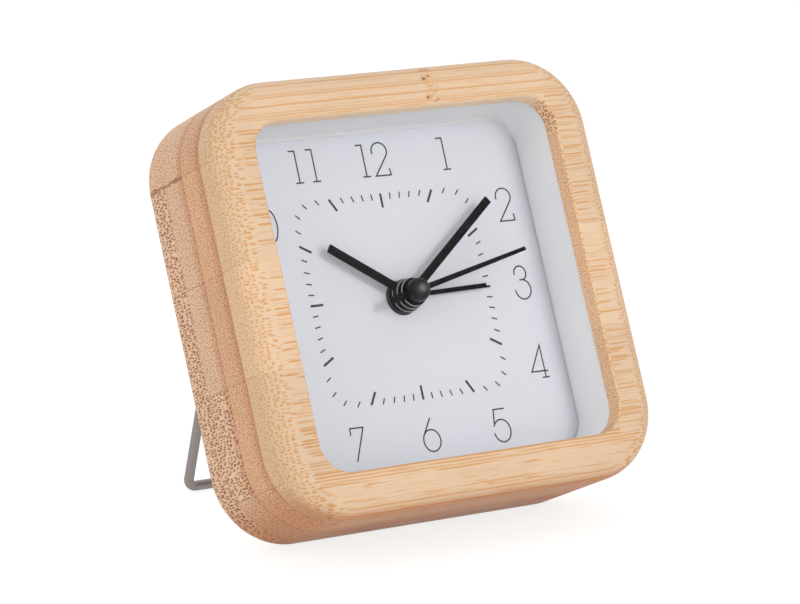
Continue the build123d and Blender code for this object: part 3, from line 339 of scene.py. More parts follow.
def make_rubbed_edges():
    """A mask of the outer edges and corners, where handling polishes a surface."""
    group, taken, given = new_effect("rubbed_edges", {"Reach": (FLOAT, 0.0003)}, {"Mask": FLOAT})
    soft = put(group, "ShaderNodeBevel", {"Radius": taken["Reach"]}, samples=RUB_SAMPLES).outputs[0]
    turn = vector_calc(group, "DOT_PRODUCT", soft, surface_normal(group))
    join(group, ease(group, turn, *RUB_TURN), given["Mask"])
    return group


# The seam where the dial meets the white wall is a rounded square, in mm from the arbor
SEAM_HALF_WIDTH = 39.6
SEAM_HALF_HEIGHT = 39.5
SEAM_CORNER = 7.0
# Painted shade at the seam: the ramps of its narrow line and its wide fade, and where it fades out near the
# top
SEAM_SHADE_LINE = (0.9, 0.0, 0.0, 0.6)
SEAM_SHADE = (0.0, 0.0, 0.4)
SEAM_FADE = (32.0, 37.5, 1.0, 0.0)
# Painted shade on the ledge: how near the dial it lies, and how square to the front it faces
LEDGE_HEIGHT = 1.0
LEDGE_FACING = (0.5, 0.8)


def make_seam_shade():
    """Painted shade along the seam of wall and dial: a soft dark line, fading up the wall and over the dial;
    and a mask of the ledge on the wall, for painted shade there.
    """
    outputs = {"Mask": FLOAT, "Ledge": FLOAT}
    group, taken, given = new_effect("seam_shade", {"Reach": (FLOAT, 12.0)}, outputs)
    x, y, z = separate(group, upright_mm(group, DIAL_FRONT))
    past_x = calc(group, "SUBTRACT", calc(group, "ABSOLUTE", x), SEAM_HALF_WIDTH - SEAM_CORNER)
    past_z = calc(group, "SUBTRACT", calc(group, "ABSOLUTE", z), SEAM_HALF_HEIGHT - SEAM_CORNER)
    corner = point(group, calc(group, "MAXIMUM", past_x, 0.0), calc(group, "MAXIMUM", past_z, 0.0), 0.0)
    round_part = vector_calc(group, "LENGTH", corner)
    flat_part = calc(group, "MINIMUM", calc(group, "MAXIMUM", past_x, past_z), 0.0)
    from_edge = calc(group, "SUBTRACT", total(group, round_part, flat_part), SEAM_CORNER)
    from_seam = vector_calc(group, "LENGTH", point(group, from_edge, y, 0.0))
    line = ease(group, from_seam, *SEAM_SHADE_LINE)
    shade = total(group, line, ease(group, from_seam, taken["Reach"], *SEAM_SHADE))
    join(group, product(group, shade, ease(group, z, *SEAM_FADE)), given["Mask"])
    near_dial = calc(group, "LESS_THAN", calc(group, "ABSOLUTE", y), LEDGE_HEIGHT)
    join(group, product(group, ease(group, facing_front(group), *LEDGE_FACING), near_dial), given["Ledge"])
    return group


moulded_skin = make_moulded_skin()
drawn_metal = make_drawn_metal()
rubbed_edges = make_rubbed_edges()
seam_shade = make_seam_shade()

# Bamboo, measured in millimetres from the middle of the front face: strips glued side by side
# up the face and in layers from front to back, with all their fibres running across the clock
BAMBOO_FACE = srgb(233, 201, 167)
BAMBOO_STREAK = srgb(220, 158, 94)
BAMBOO_FRONT_END = srgb(230, 191, 152)
BAMBOO_FRONT_DOT = srgb(206, 152, 100)
# End grain inside the opening: the wood's own end colour, made paler as painted light that lightens the
# shade there
BAMBOO_LIP_END_LIT = srgb(255, 212, 167)
# Painted light: a paler colour for the underside of the top lip, which lightens its shade
BAMBOO_LIP_UNDERSIDE_LIGHT = srgb(255, 224, 188)
BAMBOO_LIP_DOT = srgb(220, 134, 83)
BAMBOO_LIP_CORNER_DOT = srgb(182, 104, 64)
BAMBOO_SECOND_END = srgb(224, 174, 132)
BAMBOO_END = srgb(232, 189, 153)
BAMBOO_END_DOT = srgb(156, 98, 66)
BAMBOO_COARSE_DOT = srgb(140, 84, 54)
BAMBOO_FLECK = srgb(238, 202, 158)
BAMBOO_GLUE = srgb(156, 96, 62)
# Darkens the bark side of each layer, a real tone of the wood, and the underside of the case as painted
# shade
BAMBOO_BARK_TONE_AND_SHADE = srgb(222, 184, 150)
KNUCKLE_DARK = srgb(152, 92, 52)
# Layers are numbered from the front and strips from below; whole numbers are told apart halfway
SECOND_LAYER = 1.0
THIRD_LAYER = 2.0
LAST_LAYER = 3.0
LOW_STRIP = 0.0
BETWEEN = 0.5
LAYER_DEPTH = 8.6
STRIP_START = -39.3
STRIP_HEIGHT = 24.03
TOP_JOINT = STRIP_START + 3 * STRIP_HEIGHT
STRIP_SEED = 7.0
COARSE_TOP = 0.6
LIP_FACING = -0.3
# Fibre bundles: their spacing, how much closer they lie from front to back, and how they wander
FRONT_CELL = 0.7
RIGHT_CELL = 0.5
RIGHT_FROM = 38.0
RIGHT_HALF_HEIGHT = 40.0
LIP_CELLS = (31.0, 31.1, 0.52, 0.75)
FINE_CELL = 0.5
COARSE_CELL = 0.56
FRONT_SQUASH = 0.75
FINE_SQUASH = 0.55
COARSE_SQUASH = 0.36
CELL_RANDOMNESS = 0.7
LAYER_SHIFT = 17.3
FIBRE_WANDER = 0.6
FIBRE_STRETCH = (0.08, 0.2, 0.2)
FIBRE_BEND = (-1.0, 1.0, 1.7, 0.5)
BEND_START = (38.0, 49.5)
BEND_POWER = 2.0
DOT_SIZE = (0.25, 0.2)
DOT_SPREAD = 0.1
DOT_COARSE = 0.05
DOT_SOFTNESS = 0.07
# Fine lines, clouds and torn flecks
LINE_STRETCH = (0.05, 1.0, 1.0)
LINE_SCALE = 2.4
CLOUD_SCALE = 0.06
FLECK_STRETCH = (0.2, 0.35, 1.0)
FLECK_SCALE = 0.8
TORN_FLECKS = (0.6, 0.68)
# Glue lines, by the distance from a joint
LAYER_GLUE = (0.4, 0.0, 0.0, 0.35)
STRIP_GLUE = (0.2, 0.04, 0.0, 0.4)
DARK_JOINT = (0.6, 0.1, 0.0, 0.9)
DARK_JOINT_RAGGED = 2.2
# Knuckle in the top, stepped sideways from layer to layer
KNUCKLE_X = 8.4
KNUCKLE_STEP = -21.0
KNUCKLE_HALF = 2.4
KNUCKLE_TOP = (40.0, 41.0)
KNUCKLE_STRETCH = (0.7, 1.0, 1.0)
KNUCKLE_SCALE = 0.9
KNUCKLE_WARM = (0.4, 0.6, 0.0, 0.8)
KNUCKLE_CORE = (0.0, 0.4)
KNUCKLE_SPECKS = (0.58, 0.68)
# Colours of faces and ends
END_FACING = (0.2, 0.95)
STREAK_HEIGHT = (45.0, 30.0, 0.75, 1.0)
STREAK_SHARE = (0.1, 0.9, 0.1)
STREAK_ROUNDING = (0.03, 0.25, 0.0, 0.8)
THIN_STREAK = (0.53, 0.7, 0.0)
THIN_STREAK_HEIGHT = (-38.0, -41.0, 0.5, 0.9)
LIP_CORNER = (28.0, 31.0)
# Painted light on faces that look down under the top lip
LIP_UNDERSIDE = (-0.3, -0.7)
DOT_STRENGTH = (0.75, 0.9)
BARK_SHADE = (0.4, 0.0, 0.0, 0.6)
# Painted shade on the downward faces of the underside of the case
UNDERSIDE_BELOW = -40.0
UNDERSIDE_SHADE = (-0.2, -0.9)
# Tones of strips, lines, clouds and the rails round the front
STRIP_TONE = (0.96, 1.03)
LINE_TONE = (0.25, 0.75, -0.035, 0.03)
CLOUD_TONE = (0.3, 0.7, -0.02, 0.02)
LEFT_RAIL = (-36.0, -42.0, 0.0)
LEFT_TONE = (0.0, -35.0, -0.035, -0.06)
RIGHT_TONE = (38.0, 42.0, 0.0, -0.03)
LOW_TONE = (-36.0, -41.0, 0.0, -0.025)
LINE_ROUGHNESS = (0.25, 0.75, 0.46, 0.54)
DOT_ROUGHNESS = 0.12
LINE_HEIGHT = 0.5
GRAIN_DEPTH = 0.015


def bamboo_place(tree):
    """Where a point lies in the wood, by layer and strip, and which way its surface faces."""
    at = SimpleNamespace(point=upright_mm(tree, CASE_FRONT))
    at.x, at.y, at.z = separate(tree, at.point)
    depth = calc(tree, "DIVIDE", calc(tree, "MAXIMUM", at.y, 0.0), LAYER_DEPTH)
    at.layer = calc(tree, "MINIMUM", calc(tree, "FLOOR", depth), LAST_LAYER)
    at.within = calc(tree, "SUBTRACT", depth, at.layer)
    at.rise = calc(tree, "SUBTRACT", at.z, STRIP_START)
    at.strip = calc(tree, "FLOOR", calc(tree, "DIVIDE", at.rise, STRIP_HEIGHT))
    at.is_front = calc(tree, "LESS_THAN", at.layer, BETWEEN)
    at.is_second = calc(tree, "COMPARE", at.layer, SECOND_LAYER, BETWEEN)
    at.is_rear = calc(tree, "GREATER_THAN", at.layer, LAST_LAYER - BETWEEN)
    at.behind_face = calc(tree, "GREATER_THAN", at.y, LAYER_DEPTH / 2)
    at.has_seam = product(tree, at.behind_face, opposite(tree, at.is_rear))
    at.across, _, at.upward = separate(tree, surface_normal(tree))
    at.sideways = calc(tree, "ABSOLUTE", at.across)
    inward = product(tree, calc(tree, "SIGN", at.x), at.across)
    at.on_lip = product(tree, calc(tree, "LESS_THAN", inward, LIP_FACING), at.is_front)
    at.coarse_back, at.coarse = bamboo_coarseness(tree, at)
    return at


def bamboo_coarseness(tree, at):
    """Masks of the strips with coarser bundles: those at the back, and those with the top of the front."""
    is_third = calc(tree, "COMPARE", at.layer, THIRD_LAYER, BETWEEN)
    is_low = calc(tree, "COMPARE", at.strip, LOW_STRIP, BETWEEN)
    is_top = calc(tree, "GREATER_THAN", at.z, TOP_JOINT)
    rear = product(tree, at.is_rear, opposite(tree, is_top))
    back = calc(tree, "MAXIMUM", rear, product(tree, is_third, is_low))
    front_top = product(tree, at.is_front, is_top, COARSE_TOP)
    return back, calc(tree, "MAXIMUM", back, front_top)


def bamboo_spacing(tree, at):
    """How far apart the bundles lie, and how much closer from front to back."""
    beside = calc(tree, "LESS_THAN", calc(tree, "ABSOLUTE", at.z), RIGHT_HALF_HEIGHT)
    is_right = product(tree, calc(tree, "GREATER_THAN", at.x, RIGHT_FROM), beside)
    rail_cell = choose(tree, is_right, FRONT_CELL, RIGHT_CELL)
    front_cell = choose(tree, at.on_lip, rail_cell, ease(tree, at.z, *LIP_CELLS))
    fine_cell = choose(tree, at.is_front, FINE_CELL, front_cell)
    fine_squash = choose(tree, at.is_front, FINE_SQUASH, FRONT_SQUASH)
    cell = choose(tree, at.coarse_back, fine_cell, COARSE_CELL)
    squash = choose(tree, at.coarse_back, fine_squash, COARSE_SQUASH)
    return cell, squash


def bamboo_bundles(tree, at):
    """Fibre bundles, seen as dots on the ends and streaks along the faces, and a share for each."""
    drift_at = vector_calc(tree, "MULTIPLY", at.point, FIBRE_STRETCH)
    drift = channels(tree, noise(tree, drift_at, 1.0).outputs["Color"])
    past_rail = ease(tree, calc(tree, "ABSOLUTE", at.x), *BEND_START)
    bend = calc(tree, "POWER", past_rail, BEND_POWER)
    bent_y = calc(tree, "MULTIPLY_ADD", bend, ease(tree, at.x, *FIBRE_BEND), at.y)
    fibre_y = calc(tree, "MULTIPLY_ADD", drift[0], FIBRE_WANDER, bent_y)
    fibre_z = calc(tree, "MULTIPLY_ADD", drift[1], FIBRE_WANDER, at.z)
    cell, squash = bamboo_spacing(tree, at)
    cell_y = product(tree, calc(tree, "DIVIDE", fibre_y, cell), squash)
    cell_z = calc(tree, "MULTIPLY_ADD", at.layer, LAYER_SHIFT, calc(tree, "DIVIDE", fibre_z, cell))
    cells = {"Vector": point(tree, cell_y, cell_z, 0.0), "Scale": 1.0, "Randomness": CELL_RANDOMNESS}
    bundle = put(tree, "ShaderNodeTexVoronoi", cells, voronoi_dimensions="2D").outputs
    own = channels(tree, bundle["Color"])
    plain_size = calc(tree, "MULTIPLY_ADD", at.coarse, DOT_COARSE, choose(tree, at.within, *DOT_SIZE))
    size = calc(tree, "MULTIPLY_ADD", own[0], DOT_SPREAD, plain_size)
    edge = calc(tree, "SUBTRACT", bundle["Distance"], size)
    return ease(tree, edge, DOT_SOFTNESS, -DOT_SOFTNESS), own[1]


def bamboo_grain(tree, at):
    """Fibre bundles, fine lines, clouds of tone, and pale torn flecks among the coarse bundles."""
    grain = SimpleNamespace()
    grain.dot, grain.share = bamboo_bundles(tree, at)
    line_at = vector_calc(tree, "MULTIPLY", at.point, LINE_STRETCH)
    fleck_at = vector_calc(tree, "MULTIPLY", at.point, FLECK_STRETCH)
    grain.lines = noise(tree, line_at, LINE_SCALE, HIGH_DETAIL).outputs["Fac"]
    grain.cloud = noise(tree, at.point, CLOUD_SCALE, HIGH_DETAIL).outputs["Fac"]
    grain.flecks = noise(tree, fleck_at, FLECK_SCALE).outputs["Fac"]
    grain.torn = product(tree, ease(tree, grain.flecks, *TORN_FLECKS), at.coarse)
    return grain


def bamboo_glue(tree, at, grain):
    """Glue lines between layers and strips; the one below the top is dark and ragged at the back."""
    layer_edge = calc(tree, "PINGPONG", at.y, LAYER_DEPTH / 2)
    layer_glue = product(tree, ease(tree, layer_edge, *LAYER_GLUE), at.has_seam)
    strip_edge = calc(tree, "PINGPONG", at.rise, STRIP_HEIGHT / 2)
    strip_glue = product(tree, ease(tree, strip_edge, *STRIP_GLUE), at.behind_face)
    fleck_swing = calc(tree, "SUBTRACT", grain.flecks, NOISE_MEAN)
    ragged = calc(tree, "MULTIPLY_ADD", fleck_swing, DARK_JOINT_RAGGED, at.z)
    from_joint = calc(tree, "ABSOLUTE", calc(tree, "SUBTRACT", ragged, TOP_JOINT))
    is_back = calc(tree, "GREATER_THAN", at.layer, THIRD_LAYER - BETWEEN)
    dark_joint = product(tree, ease(tree, from_joint, *DARK_JOINT), is_back)
    return calc(tree, "MAXIMUM", calc(tree, "MAXIMUM", layer_glue, strip_glue), dark_joint)


def bamboo_knuckle(tree, at):
    """The bamboo's knuckle across the top: a warm patch, and dark specks in it."""
    middle = calc(tree, "MULTIPLY_ADD", at.layer, KNUCKLE_STEP, KNUCKLE_X)
    off_middle = calc(tree, "ABSOLUTE", calc(tree, "SUBTRACT", at.x, middle))
    knuckle = product(tree, ease(tree, off_middle, KNUCKLE_HALF, 0.0), ease(tree, at.z, *KNUCKLE_TOP))
    spot_at = vector_calc(tree, "MULTIPLY", at.point, KNUCKLE_STRETCH)
    spots = noise(tree, spot_at, KNUCKLE_SCALE).outputs["Fac"]
    warm = product(tree, knuckle, ease(tree, spots, *KNUCKLE_WARM))
    specks = product(tree, ease(tree, knuckle, *KNUCKLE_CORE), ease(tree, spots, *KNUCKLE_SPECKS))
    return warm, specks


def bamboo_face(tree, at, grain):
    """Pale faces with golden streaks, and painted light on the underside of the top lip, which lightens its
    shade.
    """
    strongest = ease(tree, at.z, *STREAK_HEIGHT)
    flat_strength = ease(tree, grain.share, *STREAK_SHARE, strongest)
    strength = calc(tree, "MAXIMUM", flat_strength, ease(tree, at.sideways, *STREAK_ROUNDING))
    main_streak = product(tree, grain.dot, strength)
    thin_streak = ease(tree, grain.lines, *THIN_STREAK, ease(tree, at.z, *THIN_STREAK_HEIGHT))
    streak = calc(tree, "MAXIMUM", main_streak, thin_streak)
    # Painted light under the top lip
    is_front_top = product(tree, at.is_front, calc(tree, "GREATER_THAN", at.z, 0.0))
    lip_underside_light = product(tree, ease(tree, at.upward, *LIP_UNDERSIDE), is_front_top)
    return tint(tree, lip_underside_light, tint(tree, streak, BAMBOO_FACE, BAMBOO_STREAK), BAMBOO_LIP_UNDERSIDE_LIGHT)


def bamboo_end(tree, at, grain):
    """Browner ends with dark dots, which the torn flecks cover."""
    rear_ground = tint(tree, at.is_second, BAMBOO_END, BAMBOO_SECOND_END)
    # The ends inside the opening are paler, partly painted light
    front_ground = tint(tree, at.on_lip, BAMBOO_FRONT_END, BAMBOO_LIP_END_LIT)
    ground = tint(tree, grain.torn, tint(tree, at.is_front, rear_ground, front_ground), BAMBOO_FLECK)
    lip_dot = tint(tree, ease(tree, at.z, *LIP_CORNER), BAMBOO_LIP_DOT, BAMBOO_LIP_CORNER_DOT)
    front_dot = tint(tree, at.on_lip, BAMBOO_FRONT_DOT, lip_dot)
    rear_dot = tint(tree, at.coarse_back, BAMBOO_END_DOT, BAMBOO_COARSE_DOT)
    whole_dot = product(tree, grain.dot, choose(tree, at.coarse, *DOT_STRENGTH))
    bare_dot = calc(tree, "SUBTRACT", whole_dot, product(tree, grain.torn, whole_dot))
    return tint(tree, bare_dot, ground, tint(tree, at.is_front, rear_dot, front_dot))


def bamboo_level(tree, at, grain):
    """How light the wood is: by strip, by line, in clouds, and along the rails of the front."""
    strip_at = {"Vector": point(tree, at.layer, at.strip, STRIP_SEED)}
    strip_share = put(tree, "ShaderNodeTexWhiteNoise", strip_at).outputs["Value"]
    left_tone = ease(tree, at.x, *LEFT_RAIL, ease(tree, at.z, *LEFT_TONE))
    side_tone = calc(tree, "MINIMUM", left_tone, ease(tree, at.x, *RIGHT_TONE))
    rail_tone = calc(tree, "MINIMUM", side_tone, ease(tree, at.z, *LOW_TONE))
    return total(
        tree,
        choose(tree, strip_share, *STRIP_TONE),
        ease(tree, grain.lines, *LINE_TONE),
        ease(tree, grain.cloud, *CLOUD_TONE),
        product(tree, at.is_front, rail_tone),
    )


def make_bamboo():
    finish, tree = new_finish("bamboo")
    at = bamboo_place(tree)
    grain = bamboo_grain(tree, at)
    is_end = ease(tree, at.sideways, *END_FACING)
    wood = tint(tree, is_end, bamboo_face(tree, at, grain), bamboo_end(tree, at, grain))
    glued = tint(tree, bamboo_glue(tree, at, grain), wood, BAMBOO_GLUE)
    warm, specks = bamboo_knuckle(tree, at)
    marked = tint(tree, specks, tint(tree, warm, glued, BAMBOO_STREAK), KNUCKLE_DARK)
    # The bark side of each layer is a darker tone of the wood itself; the underside gets painted shade
    bark_side = product(tree, ease(tree, at.within, *BARK_SHADE), at.has_seam)
    is_underside = calc(tree, "LESS_THAN", at.z, UNDERSIDE_BELOW)
    beneath_shade = product(tree, ease(tree, at.upward, *UNDERSIDE_SHADE), is_underside)
    toned_and_shaded = tint(tree, calc(tree, "MAXIMUM", bark_side, beneath_shade), marked, BAMBOO_BARK_TONE_AND_SHADE, "MULTIPLY")
    rough = calc(tree, "MULTIPLY_ADD", grain.dot, DOT_ROUGHNESS, ease(tree, grain.lines, *LINE_ROUGHNESS))
    height = calc(tree, "SUBTRACT", product(tree, grain.lines, LINE_HEIGHT), grain.dot)
    inputs = {
        "Base Color": brighten(tree, toned_and_shaded, bamboo_level(tree, at, grain)),
        "Roughness": rough,
        "Normal": bump(tree, height, GRAIN_DEPTH * MM),
    }
    show(tree, principled(tree, inputs))
    return finish


PLASTIC_RUB_REACH = 0.25
# How dark the painted shade along the seam is, how far it reaches in mm, and how dark the painted shade on
# the ledge above the dial is
SEAM_PAINTED_SHADE = {"white_plastic": (0.2, 12.0, 0.2), "dial_white": (0.3, 3.0, 0.0)}


def make_plastic(name, colour, cloud, pit_scale, roughness, pit_depth, rub):
    """A moulded piece: its skin, and edges a little lighter where they are rubbed."""
    finish, tree = new_finish(name)
    look = {"Color": colour, "Cloud": cloud, "Pit_Scale": pit_scale, "Roughness": roughness}
    skin = place_effect(tree, moulded_skin, **look)
    worn = place_effect(tree, rubbed_edges, Reach=PLASTIC_RUB_REACH * MM)["Mask"]
    base = tint(tree, worn, skin["Color"], brighten(tree, skin["Color"], 1.0 + rub))
    # The white wall and the dial get painted shade along their seam, and the wall's ledge gets painted shade
    # too
    if name in SEAM_PAINTED_SHADE:
        dark, reach, ledge_shade_dark = SEAM_PAINTED_SHADE[name]
        shade = place_effect(tree, seam_shade, Reach=reach)
        seam = product(tree, shade["Mask"], dark)
        ledge = product(tree, shade["Ledge"], ledge_shade_dark)
        base = tint(tree, calc(tree, "MAXIMUM", seam, ledge), base, grey(0.0))
    inputs = {
        "Base Color": base,
        "Roughness": skin["Roughness"],
        "Normal": bump(tree, skin["Height"], pit_depth * MM),
    }
    show(tree, principled(tree, inputs))
    return finish


HAND_BLACK = srgb(18, 17, 18)
HAND_CLOUD = 0.25
HAND_PIT_SCALE = 6000.0
HAND_PIT_DEPTH = 0.003
# Painted highlight on the bevelled rims of the hubs, between these radii in mm from the arbor
HUB_RIM_HIGHLIGHT = srgb(175, 175, 177)
HUB_RIM_FROM = 2.95
HUB_RIM_TO = 4.2
HUB_BEVEL = radians(45.0)
HUB_BEVEL_SLACK = 0.1
# Painted highlight on the crown of the cap
CAP_CROWN_HIGHLIGHT = srgb(100, 100, 103)
# Gloss, roughness, and the radius in mm of the painted highlight, a lighter crown on the cap
HAND_LACQUER = (0.08, 0.34, 0.0)
CAP_LACQUER = (0.24, 0.34, 1.5)


def make_black_lacquer(name, gloss, roughness, crown_highlight_radius):
    """Black lacquer, with painted highlights: bright on the bevelled rims of the hubs, and lighter on a
    crown in the middle.
    """
    finish, tree = new_finish(name)
    look = {"Color": HAND_BLACK, "Cloud": HAND_CLOUD, "Pit_Scale": HAND_PIT_SCALE, "Roughness": roughness}
    skin = place_effect(tree, moulded_skin, **look)
    # Painted highlight where a bevel faces part way forward on a hub
    bevel = calc(tree, "COMPARE", facing_front(tree), cos(HUB_BEVEL), HUB_BEVEL_SLACK)
    away = vector_calc(tree, "SUBTRACT", surface_point(tree), ARBOR)
    radius = vector_calc(tree, "LENGTH", vector_calc(tree, "CROSS_PRODUCT", away, BACK))
    beyond_cap = calc(tree, "GREATER_THAN", radius, HUB_RIM_FROM * MM)
    on_hub = product(tree, beyond_cap, calc(tree, "LESS_THAN", radius, HUB_RIM_TO * MM))
    base = tint(tree, product(tree, bevel, on_hub), skin["Color"], HUB_RIM_HIGHLIGHT)
    # Painted highlight, lighter towards the middle of the cap
    if crown_highlight_radius:
        base = tint(tree, ease(tree, radius, crown_highlight_radius * MM, 0.0), base, CAP_CROWN_HIGHLIGHT)
    inputs = {
        "Base Color": base,
        "Roughness": skin["Roughness"],
        "Specular IOR Level": gloss,
        "Normal": bump(tree, skin["Height"], HAND_PIT_DEPTH * MM),
    }
    show(tree, principled(tree, inputs))
    return finish


METAL_RUB_REACH = 0.15
METAL_RUB_VALUE = 1.25


def make_metal(name, colour, line_scale, line_length, roughness, line_depth, metallic):
    """A drawn, rolled or plated piece, brighter on its rubbed edges."""
    finish, tree = new_finish(name)
    look = {"Color": colour, "Line_Scale": line_scale, "Line_Length": line_length, "Roughness": roughness}
    skin = place_effect(tree, drawn_metal, **look)
    worn = place_effect(tree, rubbed_edges, Reach=METAL_RUB_REACH * MM)["Mask"]
    inputs = {
        "Base Color": tint(tree, worn, skin["Color"], brighten(tree, skin["Color"], METAL_RUB_VALUE)),
        "Roughness": skin["Roughness"],
        "Metallic": metallic,
        "Normal": bump(tree, skin["Height"], line_depth * MM),
    }
    show(tree, principled(tree, inputs))
    return finish


# Screws: colour, line scale, line length, roughness, line depth in mm, metallic
SCREW_STEEL = (srgb(176, 176, 174), 3200.0, 1.0, 0.32, 0.004, 1.0)
SCREW_HEAD_R = 1.7
# Painted shade: a dark ring round the rim of each head, and a dark cross where its recess would be
HEAD_RIM_SHADE = (SCREW_HEAD_R - 0.25, SCREW_HEAD_R, 0.0, 0.7)
CROSS_HALF_LENGTH = 1.0
CROSS_EDGE = (0.25, 0.15)
RECESS_PAINTED_SHADE = srgb(52, 52, 54)


def make_cross_head_steel(name):
    """Plated steel of the four screws in the corners of the rear cover, with painted shade for the cross
    recess in each head and round the rim of each head.
    """
    finish, tree = new_finish(name)
    colour, line_scale, line_length, roughness, line_depth, metallic = SCREW_STEEL
    corners = [vertex.co - ARBOR for vertex in nodes[name].data.vertices]
    screw_x = max(corner.dot(RIGHT) for corner in corners) / MM - SCREW_HEAD_R
    screw_z = max(corner.dot(UP) for corner in corners) / MM - SCREW_HEAD_R
    x, _, z = separate(tree, upright_mm(tree, ARBOR))
    off_x = calc(tree, "ABSOLUTE", calc(tree, "SUBTRACT", calc(tree, "ABSOLUTE", x), screw_x))
    off_z = calc(tree, "ABSOLUTE", calc(tree, "SUBTRACT", calc(tree, "ABSOLUTE", z), screw_z))
    narrow = ease(tree, calc(tree, "MINIMUM", off_x, off_z), *CROSS_EDGE)
    short = calc(tree, "LESS_THAN", calc(tree, "MAXIMUM", off_x, off_z), CROSS_HALF_LENGTH)
    rim = ease(tree, vector_calc(tree, "LENGTH", point(tree, off_x, off_z, 0.0)), *HEAD_RIM_SHADE)
    # Painted shade of the cross recess and the rim
    dark = calc(tree, "MAXIMUM", product(tree, narrow, short), rim)
    look = {"Color": colour, "Line_Scale": line_scale, "Line_Length": line_length, "Roughness": roughness}
    skin = place_effect(tree, drawn_metal, **look)
    inputs = {
        "Base Color": tint(tree, dark, skin["Color"], RECESS_PAINTED_SHADE),
        "Roughness": skin["Roughness"],
        "Metallic": metallic,
        "Normal": bump(tree, skin["Height"], line_depth * MM),
    }
    show(tree, principled(tree, inputs))
    return finish


LENS_TINT = (0.985, 0.995, 0.99, 1.0)
LENS_IOR = 1.003
LENS_COAT = 0.06


def make_lens():
    """Clear acrylic that lets the lamps through to the dial."""
    finish, tree = new_finish("lens_glass")
    inputs = {
        "Base Color": LENS_TINT,
        "Roughness": 0.0,
        "IOR": LENS_IOR,
        "Transmission Weight": 1.0,
        "Coat Weight": LENS_COAT,
    }
    clear = put(tree, "ShaderNodeBsdfTransparent", {"Color": LENS_TINT}).outputs[0]
    from_lamp = put(tree, "ShaderNodeLightPath").outputs["Is Shadow Ray"]
    both = {0: from_lamp, 1: principled(tree, inputs), 2: clear}
    show(tree, put(tree, "ShaderNodeMixShader", both).outputs[0])
    return finish


# Finishes of moulded pieces: colour, cloudiness, pit scale, roughness, pit depth in mm, edge lightening
PLASTICS = {
    "white_plastic": (srgb(235, 234, 236), 0.03, 5000.0, 0.55, 0.004, 0.03),
    "dial_white": (srgb(206, 206, 214), 0.025, 7000.0, 0.62, 0.002, 0.0),
    "back_plastic": (srgb(222, 221, 217), 0.04, 2600.0, 0.6, 0.012, 0.05),
    "knob_plastic": (srgb(210, 209, 205), 0.04, 4200.0, 0.45, 0.005, 0.06),
    "switch_plastic": (srgb(196, 196, 194), 0.04, 4200.0, 0.45, 0.005, 0.06),
    "movement_plastic": (srgb(58, 58, 60), 0.08, 3000.0, 0.55, 0.008, 0.15),
    "wheel_nylon": (srgb(232, 228, 214), 0.05, 5000.0, 0.4, 0.003, 0.04),
    "board": (srgb(38, 92, 62), 0.1, 3500.0, 0.45, 0.004, 0.15),
    "chip_black": (srgb(28, 28, 30), 0.12, 3500.0, 0.35, 0.006, 0.2),
    "cell_jacket": (srgb(52, 96, 150), 0.06, 2500.0, 0.35, 0.002, 0.1),
    "magnet": (srgb(70, 68, 66), 0.15, 3800.0, 0.5, 0.006, 0.2),
}
# Finishes of metal pieces: colour, line scale, line length, roughness, line depth in mm, metallic
METALS = {
    "grey_wire": (srgb(150, 142, 139), 2600.0, 1.0, 0.42, 0.004, 0.85),
    "soft_iron": (srgb(170, 168, 164), 2400.0, 0.06, 0.42, 0.004, 1.0),
    "copper": (srgb(196, 112, 66), 5200.0, 0.5, 0.35, 0.01, 1.0),
    "tin": (srgb(206, 206, 204), 2600.0, 0.4, 0.3, 0.003, 1.0),
    "contact_metal": (srgb(205, 203, 196), 2200.0, 0.08, 0.3, 0.004, 1.0),
    "screw_steel": SCREW_STEEL,
}


def make_finishes():
    """All finishes, by the slot they belong to, or by the node that has one of its own."""
    finishes = {"bamboo": make_bamboo(), "lens_glass": make_lens()}
    finishes["black_hand"] = make_black_lacquer("satin_hand", *HAND_LACQUER)
    finishes["hand_cap"] = make_black_lacquer("polished_cap", *CAP_LACQUER)
    finishes["rear_cover_screws"] = make_cross_head_steel("rear_cover_screws")
    for name, values in PLASTICS.items():
        finishes[name] = make_plastic(name, *values)
    for name, values in METALS.items():
        finishes[name] = make_metal(name, *values)
    return finishes


def dress_nodes(finishes):
    """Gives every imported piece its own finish, or else that of its slot."""
    for subpart in frame["record"]["subparts"]:
        slots = nodes[subpart["node"]].data.materials
        slots.clear()
        own = finishes.get(subpart["node"])
        slots.append(own or finishes[subpart["material_slot"]])


# Printing on the dial, in millimetres from the arbor, x to the right and y up the face
PRINT_THICKNESS = 0.03
PRINT_TURN = radians(-0.71)
PRINT_LIFT = 0.36
NUMBER_STROKE = 0.34
MITRE_LIMIT = 0.3
ARC_STEP = radians(7.0)
MINUTES = 60
QUARTER = 15
MINUTES_PER_HOUR = 5
# Middle of each mark from the arbor, by its minutes from the nearest quarter: a rounded square
TRACK = (22.34, 23.37, 23.78, 24.43, 25.43, 25.78, 28.74, 30.40)
# Length and width of the marks
HOUR_MARK = (3.3, 0.56)
MINUTE_MARK = (1.5, 0.32)


def arc(centre, radii, start, end):
    """Points along an ellipse from one angle to another, in degrees, x axis at 0."""
    first, last = radians(start), radians(end)
    steps = max(2, round(abs(last - first) / ARC_STEP))
    turns = [first + (last - first) * i / steps for i in range(steps + 1)]
    return [(centre[0] + radii[0] * cos(t), centre[1] + radii[1] * sin(t)) for t in turns]


